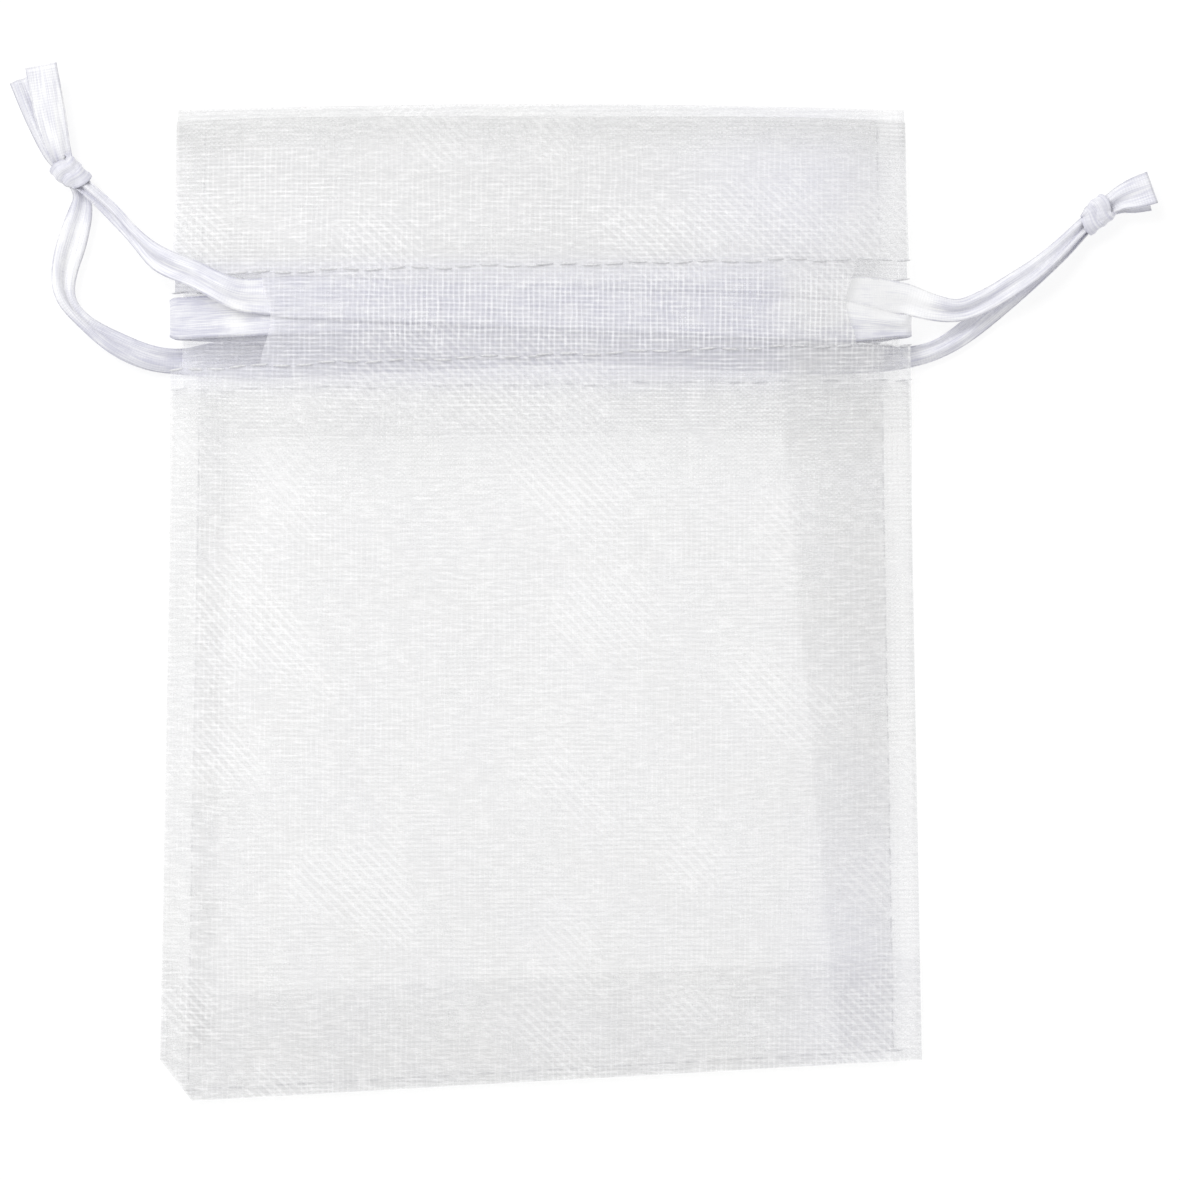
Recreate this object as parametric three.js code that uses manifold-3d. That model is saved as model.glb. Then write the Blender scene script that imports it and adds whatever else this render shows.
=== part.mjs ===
// A small drawstring gift pouch of sheer organza with two satin ribbons, empty and lying on its back panel.
// Millimetres. The origin is on the table under the middle of the cloth, +Y points to the mouth, +Z up.
import * as THREE from "three";
import { mergeVertices } from "three/addons/utils/BufferGeometryUtils.js";
import Module from "manifold-3d";

const wasm = await Module();
wasm.setup();

// Layers, from the outside of a panel inwards.
const PLY = 0.25; // one layer of cloth
const GAP = 0.2; // clearance between neighbouring layers
const RIBBON_THICKNESS = 0.25;
const THREAD_RADIUS = 0.15;
const HEM_DEPTH = 2 * PLY + GAP; // two plies, lying together
const CHANNEL = 2 * RIBBON_THICKNESS + 3 * GAP; // the casing's inside, one ribbon over the other
const CASING_DEPTH = 2 * PLY + CHANNEL;

// Outline of the pouch, seen from above.
const HALF_LENGTH = 47.5;
const HALF_WIDTH_AT_MOUTH = 34.6;
const SIDE_TAPER = 0.0185; // the half width gained per millimetre down from the mouth
const SIDE_FOOT_Y = -43.6; // where both side edges end
const BLUNT_CORNER = -0.915; // where the turned-out left corner meets the bottom edge, as a share across
const TOP_BOW = 0.6; // how far the mouth's back edge bows up in the middle
const FRONT_MOUTH_DROP = 1.2; // the front panel's fold lies this much lower than the back one's

// How the front panel stands above the table.
const BODY_EDGE_HEIGHT = 1.2;
const HEADER_EDGE_HEIGHT = 2.1;
const CASING_EDGE_HEIGHT = 3.6;
const CROWN_HEIGHT = 7.4; // along the middle, away from the casing
const DOME_FOOT = 34; // the length over which the dome dies away to the bottom seam
const CASING_RISE = [11, 18]; // the heights up the pouch between which it swells towards the casing
const CASING_FALL = [33, 40]; // and those between which it sinks again over it
const HEADER_RISE = [0, 20]; // where the edge rises from the body's to the header's

// The ribbons.
const RIBBON_WIDTH = 4.0;
const CREASED_WIDTH = 2.2; // where a ribbon is folded narrow, at a turn or an exit
const EXIT_WIDTH = 3.2; // where the right ribbon leaves the front casing
const TURN_X = 34.2; // where the ribbons leave the casing and turn round a side edge
const TURN_REACH = 1.0; // how far a turn stands out past there
const LEFT_WINDOW_X = -26.3; // the front casing's mouths end here
const RIGHT_WINDOW_X = 29.8;
const BACK_WINDOW_X = 30.0;
const WINDOW_MARGIN = 0.45; // between a mouth and the stitching over and under it
const NOTCH_MARGIN = 0.3; // the same, where both plies stop short of the edge

const SEAM_INSET = 2.7; // from a side edge to its seam
const BOTTOM_SEAM_INSET = 1.0;
const BOTTOM_SEAM_END = 0.93; // where the bottom seam meets the right side seam, as a share across
const SEAM_CLEARANCE = 2.0; // between a side seam's end and the stitching
const MOUTH_CLEARANCE = 1.0; // between a side seam's end and the mouth

const ORGANZA = { color: 0xf0f0f1, roughness: 0.55, metalness: 0 };
const SATIN = { color: 0xe4e4f0, roughness: 0.3, metalness: 0 };
const THREAD = { color: 0xf6f6f6, roughness: 0.7, metalness: 0 };

const pouch = new THREE.Group();

function add(name, geometry, finish) {
  const mesh = new THREE.Mesh(geometry, new THREE.MeshStandardMaterial(finish));
  mesh.name = name;
  pouch.add(mesh);
  return mesh;
}

// Closed shell through rings of equal length. The section is the ring's outline in the plane, for the caps.
function loft(rings, section) {
  const count = section.length;
  const points = rings.flat();
  const faces = [];
  for (let i = 0; i < rings.length - 1; i++) {
    for (let j = 0; j < count; j++) {
      const a = i * count + j;
      const b = i * count + ((j + 1) % count);
      faces.push(a, b, b + count, a, b + count, a + count);
    }
  }
  const last = (rings.length - 1) * count;
  for (const [a, b, c] of THREE.ShapeUtils.triangulateShape(section, [])) {
    faces.push(a, c, b, last + a, last + b, last + c);
  }
  const geometry = new THREE.BufferGeometry().setFromPoints(points);
  geometry.setIndex(faces);
  return turnedOut(geometry);
}

// The same geometry with its faces pointing out, found from the sign of its volume.
function turnedOut(geometry) {
  const index = geometry.index.array;
  const position = geometry.attributes.position;
  const corner = [0, 1, 2].map(() => new THREE.Vector3());
  let volume = 0;
  for (let i = 0; i < index.length; i += 3) {
    corner.forEach((point, j) => point.fromBufferAttribute(position, index[i + j]));
    volume += corner[0].dot(corner[1].clone().cross(corner[2]));
  }
  if (volume < 0) index.reverse();
  geometry.computeVertexNormals();
  return geometry;
}

function solidOf(geometry) {
  const bare = geometry.clone();
  bare.deleteAttribute("normal");
  const merged = mergeVertices(bare, 1e-4);
  return new wasm.Manifold(
    new wasm.Mesh({
      numProp: 3,
      vertProperties: merged.attributes.position.array,
      triVerts: new Uint32Array(merged.index.array),
    }),
  );
}

const CUT_TOLERANCE = 0.004; // edges shorter than this, left where cuts cross, are merged

function cutAway(geometry, cutters) {
  const left = cutters.reduce((solid, cutter) => solid.subtract(solidOf(cutter)), solidOf(geometry));
  const mesh = left.simplify(CUT_TOLERANCE).getMesh();
  const cut = new THREE.BufferGeometry();
  cut.setAttribute("position", new THREE.BufferAttribute(mesh.vertProperties, 3));
  cut.setIndex(new THREE.BufferAttribute(mesh.triVerts, 1));
  cut.computeVertexNormals();
  return cut;
}

const { lerp, smoothstep } = THREE.MathUtils;

// Across the pouch a place is a share from -1 at the left edge to 1 at the right one. A level is a line from
// edge to edge, given by its height at each, and by how far it bows up in the middle.
const level =
  (left, right, bow = 0) =>
  (share) =>
    lerp(left, right, (share + 1) / 2) + bow * (1 - share * share);
const shifted = (line, by) => (share) => line(share) + by;

const halfWidth = (y) => HALF_WIDTH_AT_MOUTH + SIDE_TAPER * (HALF_LENGTH - y);
const shareAt = (x, y) => x / halfWidth(y);

function bottomEdge(share) {
  if (share < BLUNT_CORNER) return lerp(SIDE_FOOT_Y, -HALF_LENGTH, (share + 1) / (BLUNT_CORNER + 1));
  return lerp(-HALF_LENGTH, SIDE_FOOT_Y, (share - BLUNT_CORNER) / (1 - BLUNT_CORNER));
}

const BACK = {
  mouth: level(HALF_LENGTH - TOP_BOW, HALF_LENGTH - TOP_BOW, TOP_BOW),
  upperStitch: level(29.4, 30.8),
  lowerStitch: level(20.2, 21.2),
  hemEdge: level(15.6, 16.2),
  windows: [-BACK_WINDOW_X, BACK_WINDOW_X],
};
const FRONT = {
  mouth: level(HALF_LENGTH - TOP_BOW - FRONT_MOUTH_DROP, HALF_LENGTH - TOP_BOW - FRONT_MOUTH_DROP),
  upperStitch: level(30.8, 32.4),
  lowerStitch: level(21.9, 24.4),
  hemEdge: level(18.4, 19.0),
  windows: [LEFT_WINDOW_X, RIGHT_WINDOW_X],
};

// Height of the front panel's outside over the table.
function frontHeight(x, y) {
  const share = THREE.MathUtils.clamp(shareAt(x, y), -1, 1);
  const overCasing = smoothstep(y, ...CASING_RISE) - smoothstep(y, ...CASING_FALL);
  const edge = lerp(BODY_EDGE_HEIGHT, HEADER_EDGE_HEIGHT, smoothstep(y, ...HEADER_RISE));
  const foot = bottomEdge(share);
  const rise = (CROWN_HEIGHT - edge) * Math.sin((Math.PI / 2) * Math.min(1, (y - foot) / DOME_FOOT));
  return edge + (CASING_EDGE_HEIGHT - HEADER_EDGE_HEIGHT) * overCasing + rise * (1 - share ** 4);
}

// Puts a point at a share across, a height up the pouch and a depth inside a panel's outer face.
const placeOnFront = (share, y, depth) => {
  const x = share * halfWidth(y);
  return new THREE.Vector3(x, y, frontHeight(x, y) - depth);
};
const placeOnBack = (share, y, depth) => new THREE.Vector3(share * halfWidth(y), y, depth);

const ACROSS_STEPS = 20;
const acrossShares = [-1];
for (let i = 0; i <= ACROSS_STEPS; i++) acrossShares.push(lerp(BLUNT_CORNER, 1, i / ACROSS_STEPS));

// The panel's section is a hairpin: the outer ply from the bottom to the mouth, the fold, and the hem that
// comes down inside it, standing off around the casing and meeting the outer ply again at the hem's raw edge.
function panelOutline(sew) {
  const outer = [bottomEdge];
  const BODY_ROWS = 6;
  for (let i = 1; i < BODY_ROWS; i++) {
    outer.push((share) => lerp(bottomEdge(share), sew.hemEdge(share), i / BODY_ROWS));
  }
  const RAMP = 0.7;
  const HEADER_ROW = 4;
  const hem = [
    [sew.hemEdge, HEM_DEPTH],
    [shifted(sew.lowerStitch, -RAMP), HEM_DEPTH],
    [shifted(sew.lowerStitch, RAMP / 2), CASING_DEPTH],
    [shifted(sew.upperStitch, -RAMP / 2), CASING_DEPTH],
    [shifted(sew.upperStitch, RAMP), HEM_DEPTH],
    [shifted(sew.upperStitch, HEADER_ROW), HEM_DEPTH],
    [shifted(sew.upperStitch, 2 * HEADER_ROW), HEM_DEPTH],
    [shifted(sew.mouth, -PLY - GAP), HEM_DEPTH],
  ];
  outer.push(...hem.map(([line]) => line));
  const up = outer.map((line) => [line, 0]);
  const fold = [
    [sew.mouth, GAP],
    [sew.mouth, HEM_DEPTH - GAP],
  ];
  const hemDown = [...hem].reverse();
  const hemBack = hem.map(([line, depth]) => [line, depth - PLY]);
  const down = [...outer].reverse().map((line) => [line, PLY]);
  return [...up, ...fold, ...hemDown, ...hemBack, ...down];
}

function sectionOf(outline) {
  return outline.map(([line, depth]) => new THREE.Vector2(line(0), depth));
}

// The outline swept across the pouch, between two shares.
function sweepAcross(outline, place, shares) {
  const rings = shares.map((share) => outline.map(([line, depth]) => place(share, line(share), depth)));
  return loft(rings, sectionOf(outline));
}

// A cutter for a casing's mouth: the outer ply between the two stitch rows, from a place across to near the
// edge.
function windowCutter(sew, place, x) {
  const low = shifted(sew.lowerStitch, WINDOW_MARGIN);
  const high = shifted(sew.upperStitch, -WINDOW_MARGIN);
  const OUTSIDE = -0.6;
  const INSIDE = PLY + GAP;
  const outline = [
    [low, OUTSIDE],
    [high, OUTSIDE],
    [high, INSIDE],
    [low, INSIDE],
  ];
  const side = Math.sign(x);
  const from = shareAt(x, low(side));
  const to = shareAt(side * TURN_X, low(side));
  const STEPS = 4;
  const shares = [];
  for (let i = 0; i <= STEPS; i++) shares.push(lerp(from, to, i / STEPS));
  return sweepAcross(outline, place, shares);
}

// A cutter through both plies, where the ribbons turn round the edge.
function notchCutter(sew, side) {
  const low = sew.lowerStitch(side) + NOTCH_MARGIN;
  const high = sew.upperStitch(side) - NOTCH_MARGIN;
  const REACH = 4;
  const HEIGHT = 12;
  const box = new THREE.BoxGeometry(REACH, high - low, HEIGHT);
  box.translate(side * (TURN_X - GAP + REACH / 2), (low + high) / 2, HEIGHT / 4);
  box.deleteAttribute("uv");
  return box;
}

// A panel, with the casing's outer ply open at both ends, and both plies short of the edge where the ribbons
// turn.
function panel(sew, place) {
  const windows = sew.windows.map((x) => windowCutter(sew, place, x));
  const notches = [-1, 1].map((side) => notchCutter(sew, side));
  return cutAway(sweepAcross(panelOutline(sew), place, acrossShares), [...notches, ...windows]);
}

function disc(radius, sides) {
  const points = [];
  for (let i = 0; i < sides; i++) {
    const angle = (2 * Math.PI * i) / sides;
    points.push(new THREE.Vector2(radius * Math.cos(angle), radius * Math.sin(angle)));
  }
  return new THREE.Shape(points);
}

// A row of stitching, as one thread along its points.
function thread(points) {
  const path = new THREE.CatmullRomCurve3(points);
  const settings = { steps: points.length - 1, bevelEnabled: false, extrudePath: path };
  const SIDES = 8;
  return new THREE.ExtrudeGeometry(disc(THREAD_RADIUS, SIDES), settings);
}

function casingStitch(line, place, depth) {
  const ENDS = 0.985;
  const shares = [];
  for (let i = 0; i <= ACROSS_STEPS; i++) shares.push(lerp(-ENDS, ENDS, i / ACROSS_STEPS));
  return thread(shares.map((share) => place(share, line(share), depth)));
}

// A side seam, lying between the panels, from one height up to another.
function sideSeam(side, low, high) {
  const STEPS = 12;
  const points = [];
  for (let i = 0; i <= STEPS; i++) {
    const y = lerp(low, high, i / STEPS);
    const x = side * (halfWidth(y) - SEAM_INSET);
    points.push(new THREE.Vector3(x, y, seamHeight(x, y)));
  }
  return thread(points);
}

// Halfway between the two panels.
const seamHeight = (x, y) => frontHeight(x, y) / 2;

function bottomSeam() {
  const points = [];
  for (let i = 0; i <= ACROSS_STEPS; i++) {
    const share = lerp(BLUNT_CORNER, BOTTOM_SEAM_END, i / ACROSS_STEPS);
    const y = bottomEdge(share) + BOTTOM_SEAM_INSET;
    const x = share * halfWidth(y);
    points.push(new THREE.Vector3(x, y, seamHeight(x, y)));
  }
  return thread(points);
}

// A flat ribbon through its stations: [x, y, z, width, roll in degrees]. Roll 0 lies flat, 90 stands on edge.
function ribbon(stations, steps = 2 * stations.length) {
  const path = new THREE.CatmullRomCurve3(stations.map(([x, y, z]) => new THREE.Vector3(x, y, z)));
  const BEVEL = 0.45;
  const corners = [
    [-0.5, -0.25],
    [-BEVEL, -0.5],
    [BEVEL, -0.5],
    [0.5, -0.25],
    [0.5, 0.25],
    [BEVEL, 0.5],
    [-BEVEL, 0.5],
    [-0.5, 0.25],
  ];
  const rings = [];
  for (let i = 0; i <= steps; i++) {
    const share = i / steps;
    const [width, roll] = widthAndRoll(stations, share);
    const middle = path.getPoint(share);
    const along = path.getTangent(share);
    const across = new THREE.Vector3(-along.y, along.x, 0).normalize();
    across.applyAxisAngle(along, THREE.MathUtils.degToRad(roll));
    const up = along.clone().cross(across);
    rings.push(
      corners.map(([a, b]) =>
        middle
          .clone()
          .addScaledVector(across, a * width)
          .addScaledVector(up, b * RIBBON_THICKNESS),
      ),
    );
  }
  return loft(
    rings,
    corners.map(([a, b]) => new THREE.Vector2(a, b)),
  );
}

function widthAndRoll(stations, share) {
  const place = share * (stations.length - 1);
  const i = Math.min(Math.floor(place), stations.length - 2);
  const [from, to] = [stations[i], stations[i + 1]];
  return [3, 4].map((k) => lerp(from[k], to[k], place - i));
}

// Which side of the other ribbon a ribbon runs on inside the casing: depth of its middle in a panel.
const OUTER_DEPTH = PLY + GAP + RIBBON_THICKNESS / 2;
const INNER_DEPTH = OUTER_DEPTH + RIBBON_THICKNESS + GAP;

// A ribbon's stretch inside a casing. Its ends are [x, y, width], and it broadens from them to full width.
function casingRun(from, to, height) {
  const STEPS = 20;
  const BROADENING = 20; // the width it would gain over the whole stretch
  const stations = [];
  for (let i = 0; i <= STEPS; i++) {
    const share = i / STEPS;
    const x = lerp(from[0], to[0], share);
    const y = lerp(from[1], to[1], share);
    const broad = Math.min(RIBBON_WIDTH, from[2] + share * BROADENING, to[2] + (1 - share) * BROADENING);
    stations.push([x, y, height(x, y), broad, 0]);
  }
  return ribbon(stations, STEPS);
}

// A ribbon's turn round a side edge, from the front casing to the back one: a bent strip, as wide as given.
function ribbonTurn(side, y, width, depth) {
  const top = frontHeight(side * TURN_X, y) - depth + RIBBON_THICKNESS / 2;
  const bottom = depth - RIBBON_THICKNESS / 2;
  const middle = (top + bottom) / 2;
  const half = (top - bottom) / 2;
  const start = side * (TURN_X + GAP / 2);
  const bend = new THREE.Shape();
  bend.absellipse(start, middle, TURN_REACH, half, Math.PI / 2, -Math.PI / 2, side > 0);
  const back = new THREE.Path();
  const inside = [TURN_REACH - RIBBON_THICKNESS, half - RIBBON_THICKNESS];
  back.absellipse(start, middle, ...inside, -Math.PI / 2, Math.PI / 2, side < 0);
  const POINTS = 12;
  const outline = new THREE.Shape([...bend.getPoints(POINTS), ...back.getPoints(POINTS)]);
  const geometry = new THREE.ExtrudeGeometry(outline, { depth: width, bevelEnabled: false });
  geometry.rotateX(Math.PI / 2);
  geometry.translate(0, y + width / 2, 0);
  return geometry;
}

// An overhand knot, as the lump that it makes, turned to lie along the ribbon.
function knot(name, middle, radii, heading) {
  const mesh = add(name, new THREE.SphereGeometry(1, 18, 12), SATIN);
  mesh.scale.set(...radii);
  mesh.rotation.z = THREE.MathUtils.degToRad(heading);
  mesh.position.set(...middle);
}

const onFront = (x, y, lift) => [x, y, frontHeight(x, y) + lift];
const inFront = (depth) => (x, y) => frontHeight(x, y) - depth;
const inBack = (depth) => () => depth;

function addCloth() {
  add("front_panel", panel(FRONT, placeOnFront), ORGANZA);
  add("back_panel", panel(BACK, placeOnBack), ORGANZA);
}

// The front rows lie on the panel's outside. The back ones lie inside the pouch, clear of the table.
function addStitching() {
  const overFront = -(THREAD_RADIUS + GAP);
  const overBackHem = HEM_DEPTH + CHANNEL / 2 + PLY + THREAD_RADIUS + GAP;
  add("front_upper_casing_stitch", casingStitch(FRONT.upperStitch, placeOnFront, overFront), THREAD);
  add("front_lower_casing_stitch", casingStitch(FRONT.lowerStitch, placeOnFront, overFront), THREAD);
  add("back_upper_casing_stitch", casingStitch(BACK.upperStitch, placeOnBack, overBackHem), THREAD);
  add("back_lower_casing_stitch", casingStitch(BACK.lowerStitch, placeOnBack, overBackHem), THREAD);
  for (const [side, name] of [
    [-1, "left"],
    [1, "right"],
  ]) {
    const foot = bottomEdge(side * BOTTOM_SEAM_END) + 2 * BOTTOM_SEAM_INSET;
    add(name + "_side_seam", sideSeam(side, foot, BACK.lowerStitch(side) - SEAM_CLEARANCE), THREAD);
    const low = FRONT.upperStitch(side) + SEAM_CLEARANCE;
    add(name + "_header_seam", sideSeam(side, low, FRONT.mouth(side) - MOUTH_CLEARANCE), THREAD);
  }
  add("bottom_seam", bottomSeam(), THREAD);
}

// The left ribbon is tied on the left, runs through both casings outside the other ribbon, and turns at the
// right.
function addLeftRibbon() {
  const turnY = 26.2;
  const frontExit = [LEFT_WINDOW_X + GAP, 28.8, RIBBON_WIDTH];
  const backExit = [-TURN_X - GAP, 22.9, CREASED_WIDTH];
  const turn = [TURN_X - GAP, turnY, CREASED_WIDTH];
  add("left_ribbon_front_run", casingRun(frontExit, turn, inFront(OUTER_DEPTH)), SATIN);
  add("left_ribbon_back_run", casingRun(backExit, turn, inBack(OUTER_DEPTH)), SATIN);
  add("left_ribbon_turn", ribbonTurn(1, turnY, CREASED_WIDTH, OUTER_DEPTH), SATIN);
  add(
    "left_ribbon_front_strand",
    ribbon([
      [...onFront(-26.5, 28.7, -OUTER_DEPTH), 3.4, 0],
      [...onFront(-28.3, 28.9, 0.2), 3.0, 0],
      [...onFront(-30.3, 29.7, 0.9), 2.6, 0],
      [...onFront(-32.6, 30.9, 1.0), 2.5, 0],
      [-36.0, 32.4, 4.9, 2.4, 20],
      [-38.4, 34.6, 3.6, 1.9, 35],
      [-40.8, 37.2, 2.6, 1.7, 25],
      [-43.1, 39.3, 2.1, 1.4, 10],
    ]),
    SATIN,
  );
  add(
    "left_ribbon_back_strand",
    ribbon([
      [-34.8, 22.9, OUTER_DEPTH, 2.2, 0],
      [-37.4, 23.3, 1.1, 2.4, 15],
      [-40.6, 24.7, 1.6, 2.6, 40],
      [-43.6, 26.8, 1.9, 2.8, 60],
      [-45.2, 28.9, 1.9, 2.8, 50],
      [-45.4, 31.3, 1.5, 2.8, 25],
      [-44.6, 34.5, 1.1, 2.8, 5],
      [-43.8, 37.4, 1.0, 2.2, 0],
      [-43.8, 38.9, 1.1, 1.4, 0],
    ]),
    SATIN,
  );
  knot("left_ribbon_knot", [-44.9, 40.9, 1.6], [1.9, 1.5, 1.5], 135);
  const upperTail = [
    [-45.8, 42.9, 1.9, 1.8, 0],
    [-46.7, 46.6, 2.0, 2.7, 0],
    [-47.5, 51.0, 2.2, 2.8, 0],
  ];
  const lowerTail = [
    [-46.6, 42.7, 0.9, 1.4, 0],
    [-48.2, 46.2, 0.9, 2.0, 0],
    [-49.6, 49.8, 0.8, 2.2, 0],
  ];
  add("left_ribbon_upper_tail", ribbon(upperTail), SATIN);
  add("left_ribbon_lower_tail", ribbon(lowerTail), SATIN);
}

// The right ribbon is tied on the right, runs inside the left one, and turns at the left.
function addRightRibbon() {
  const turnY = 26.9;
  const frontExit = [TURN_X, 29.2, EXIT_WIDTH];
  const backExit = [TURN_X, 22.9, CREASED_WIDTH];
  const turn = [GAP - TURN_X, turnY, RIBBON_WIDTH];
  add("right_ribbon_front_run", casingRun(turn, frontExit, inFront(INNER_DEPTH)), SATIN);
  add("right_ribbon_back_run", casingRun(turn, backExit, inBack(INNER_DEPTH)), SATIN);
  add("right_ribbon_turn", ribbonTurn(-1, turnY, RIBBON_WIDTH, INNER_DEPTH), SATIN);
  add(
    "right_ribbon_front_strand",
    ribbon([
      [34.6, 29.2, frontHeight(TURN_X, 29.2) - INNER_DEPTH, 3.1, 0],
      [37.0, 28.6, 2.8, 3.0, 0],
      [39.6, 27.8, 2.5, 2.6, -20],
      [42.4, 28.3, 2.4, 2.4, 0],
      [46.7, 31.2, 2.6, 2.1, 20],
      [49.6, 33.9, 2.2, 1.7, 20],
      [51.1, 35.4, 2.0, 1.3, 0],
    ]),
    SATIN,
  );
  add(
    "right_ribbon_back_strand",
    ribbon([
      [34.6, 22.9, INNER_DEPTH, 2.2, 0],
      [37.8, 23.6, 1.0, 2.4, 0],
      [40.8, 25.4, 0.9, 2.4, 0],
      [43.8, 27.9, 0.9, 2.2, 0],
      [46.9, 30.8, 0.9, 2.0, 0],
      [49.6, 33.3, 1.0, 1.7, 0],
      [51.2, 35.0, 1.1, 1.3, 0],
    ]),
    SATIN,
  );
  knot("right_ribbon_knot", [53.0, 37.0, 1.6], [2.0, 1.5, 1.5], 38);
  const upperTail = [
    [54.9, 38.3, 2.1, 2.0, 0],
    [56.3, 38.8, 2.3, 2.8, 0],
    [58.1, 39.4, 2.4, 3.2, 0],
  ];
  const lowerTail = [
    [54.9, 38.1, 1.1, 2.0, 0],
    [56.2, 38.5, 1.0, 2.8, 0],
    [57.8, 38.9, 0.8, 3.2, 0],
  ];
  add("right_ribbon_upper_tail", ribbon(upperTail), SATIN);
  add("right_ribbon_lower_tail", ribbon(lowerTail), SATIN);
}

addCloth();
addStitching();
addLeftRibbon();
addRightRibbon();

export default pouch;
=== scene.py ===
"""Looks of a small drawstring gift pouch: sheer organza, two satin ribbons, their knots and the stitching.

Lengths are in millimetres in the shape classes and become metres when a mesh is made.
"""

import logging
import math
from dataclasses import dataclass, field
from enum import Enum
from typing import Callable, ClassVar, Iterable, Sequence

import bpy
import numpy as np
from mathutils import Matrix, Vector


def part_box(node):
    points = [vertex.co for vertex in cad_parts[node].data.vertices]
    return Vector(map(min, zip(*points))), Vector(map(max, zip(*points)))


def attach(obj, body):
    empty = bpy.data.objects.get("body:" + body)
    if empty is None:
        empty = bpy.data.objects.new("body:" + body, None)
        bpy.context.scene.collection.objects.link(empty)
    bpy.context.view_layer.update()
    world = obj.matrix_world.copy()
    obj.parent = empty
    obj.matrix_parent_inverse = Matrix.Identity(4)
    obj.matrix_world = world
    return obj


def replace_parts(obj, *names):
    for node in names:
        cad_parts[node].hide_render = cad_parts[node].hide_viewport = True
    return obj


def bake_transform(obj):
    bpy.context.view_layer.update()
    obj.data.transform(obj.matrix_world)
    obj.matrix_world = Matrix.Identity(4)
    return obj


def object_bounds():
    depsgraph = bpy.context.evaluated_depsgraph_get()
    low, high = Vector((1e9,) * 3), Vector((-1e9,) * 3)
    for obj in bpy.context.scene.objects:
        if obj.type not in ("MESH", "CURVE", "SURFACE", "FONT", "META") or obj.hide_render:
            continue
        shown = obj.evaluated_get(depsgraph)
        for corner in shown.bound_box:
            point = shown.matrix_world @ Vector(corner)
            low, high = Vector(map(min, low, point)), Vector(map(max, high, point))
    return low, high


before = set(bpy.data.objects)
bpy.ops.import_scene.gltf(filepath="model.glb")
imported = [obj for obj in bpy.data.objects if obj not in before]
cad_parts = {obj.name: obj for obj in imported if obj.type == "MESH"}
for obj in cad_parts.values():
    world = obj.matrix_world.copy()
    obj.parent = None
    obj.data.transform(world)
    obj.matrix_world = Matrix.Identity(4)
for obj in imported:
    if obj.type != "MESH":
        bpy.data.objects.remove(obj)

CAD_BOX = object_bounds()
MM = 0.001
UV_SPAN = 100.0  # millimetres of cloth that one unit of its UV map covers
TURN = 2 * math.pi

Array = np.ndarray
log = logging.getLogger("pouch")


class Half(Enum):
    """A half of the pouch, by the sign of its X."""

    LEFT = -1
    RIGHT = 1


class Zone(Enum):
    """A part of a panel between its rows of stitching."""

    HEADER = "header"
    CASING = "casing"
    BODY = "body"


# ---------------------------------------------------------------- small helpers


def smoothstep(value: Array | float, low: float, high: float) -> Array | float:
    """An S-shaped rise.

    Args:
        value: Where to read it.
        low: Where the rise starts from 0.
        high: Where it reaches 1.

    Returns:
        The rise's height at value.
    """
    share = np.clip((value - low) / (high - low), 0.0, 1.0)
    return share * share * (3.0 - 2.0 * share)


def band(value: Array | float, rise: tuple[float, float], fall: tuple[float, float]) -> Array | float:
    """A stretch of ones with soft ends: it comes up over the rise and goes down over the fall."""
    return smoothstep(value, *rise) * (1 - smoothstep(value, *fall))


def mix(first: Array | float, second: Array | float, share: Array | float) -> Array | float:
    """Straight mix of two values: the first at share 0, the second at share 1."""
    return first + (second - first) * share


def unit(vectors: Array) -> Array:
    """The vectors at length 1, along the last axis."""
    size = np.linalg.norm(vectors, axis=-1, keepdims=True)
    return vectors / np.maximum(size, 1e-12)


def run_length(line: Array) -> Array:
    """How far along its middle each row of a line lies, from 0 at its first row."""
    steps = np.linalg.norm(np.diff(line[:, :3], axis=0), axis=1)
    return np.concatenate([[0], np.cumsum(steps)])


def through(stations: Array, step: float) -> Array:
    """A smooth line through its stations.

    Args:
        stations: Rows that start with x, y, z and may go on with widths and angles.
        step: Greatest distance between neighbouring rows of the result.

    Returns:
        Rows like those given, close together.
    """
    padded = np.vstack([2 * stations[0] - stations[1], stations, 2 * stations[-1] - stations[-2]])
    rows = []
    for a, b, c, d in zip(padded, padded[1:], padded[2:], padded[3:]):
        count = max(2, math.ceil(float(np.linalg.norm(c[:3] - b[:3])) / step))
        for t in np.arange(count) / count:
            rows.append(
                0.5
                * (
                    2 * b
                    + (c - a) * t
                    + (2 * a - 5 * b + 4 * c - d) * t**2
                    + (3 * b - a - 3 * c + d) * t**3
                )
            )
    rows.append(stations[-1])
    return np.array(rows)


@dataclass(frozen=True)
class Spot:
    """A soft round patch on the pouch: 1 in its middle, and fading over its width and height."""

    x: float
    y: float
    wide: float
    high: float

    def at(self, x: Array, y: Array) -> Array:
        """Its strength at a place."""
        return np.exp(-(((x - self.x) / self.wide) ** 2) - (((y - self.y) / self.high) ** 2))


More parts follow.
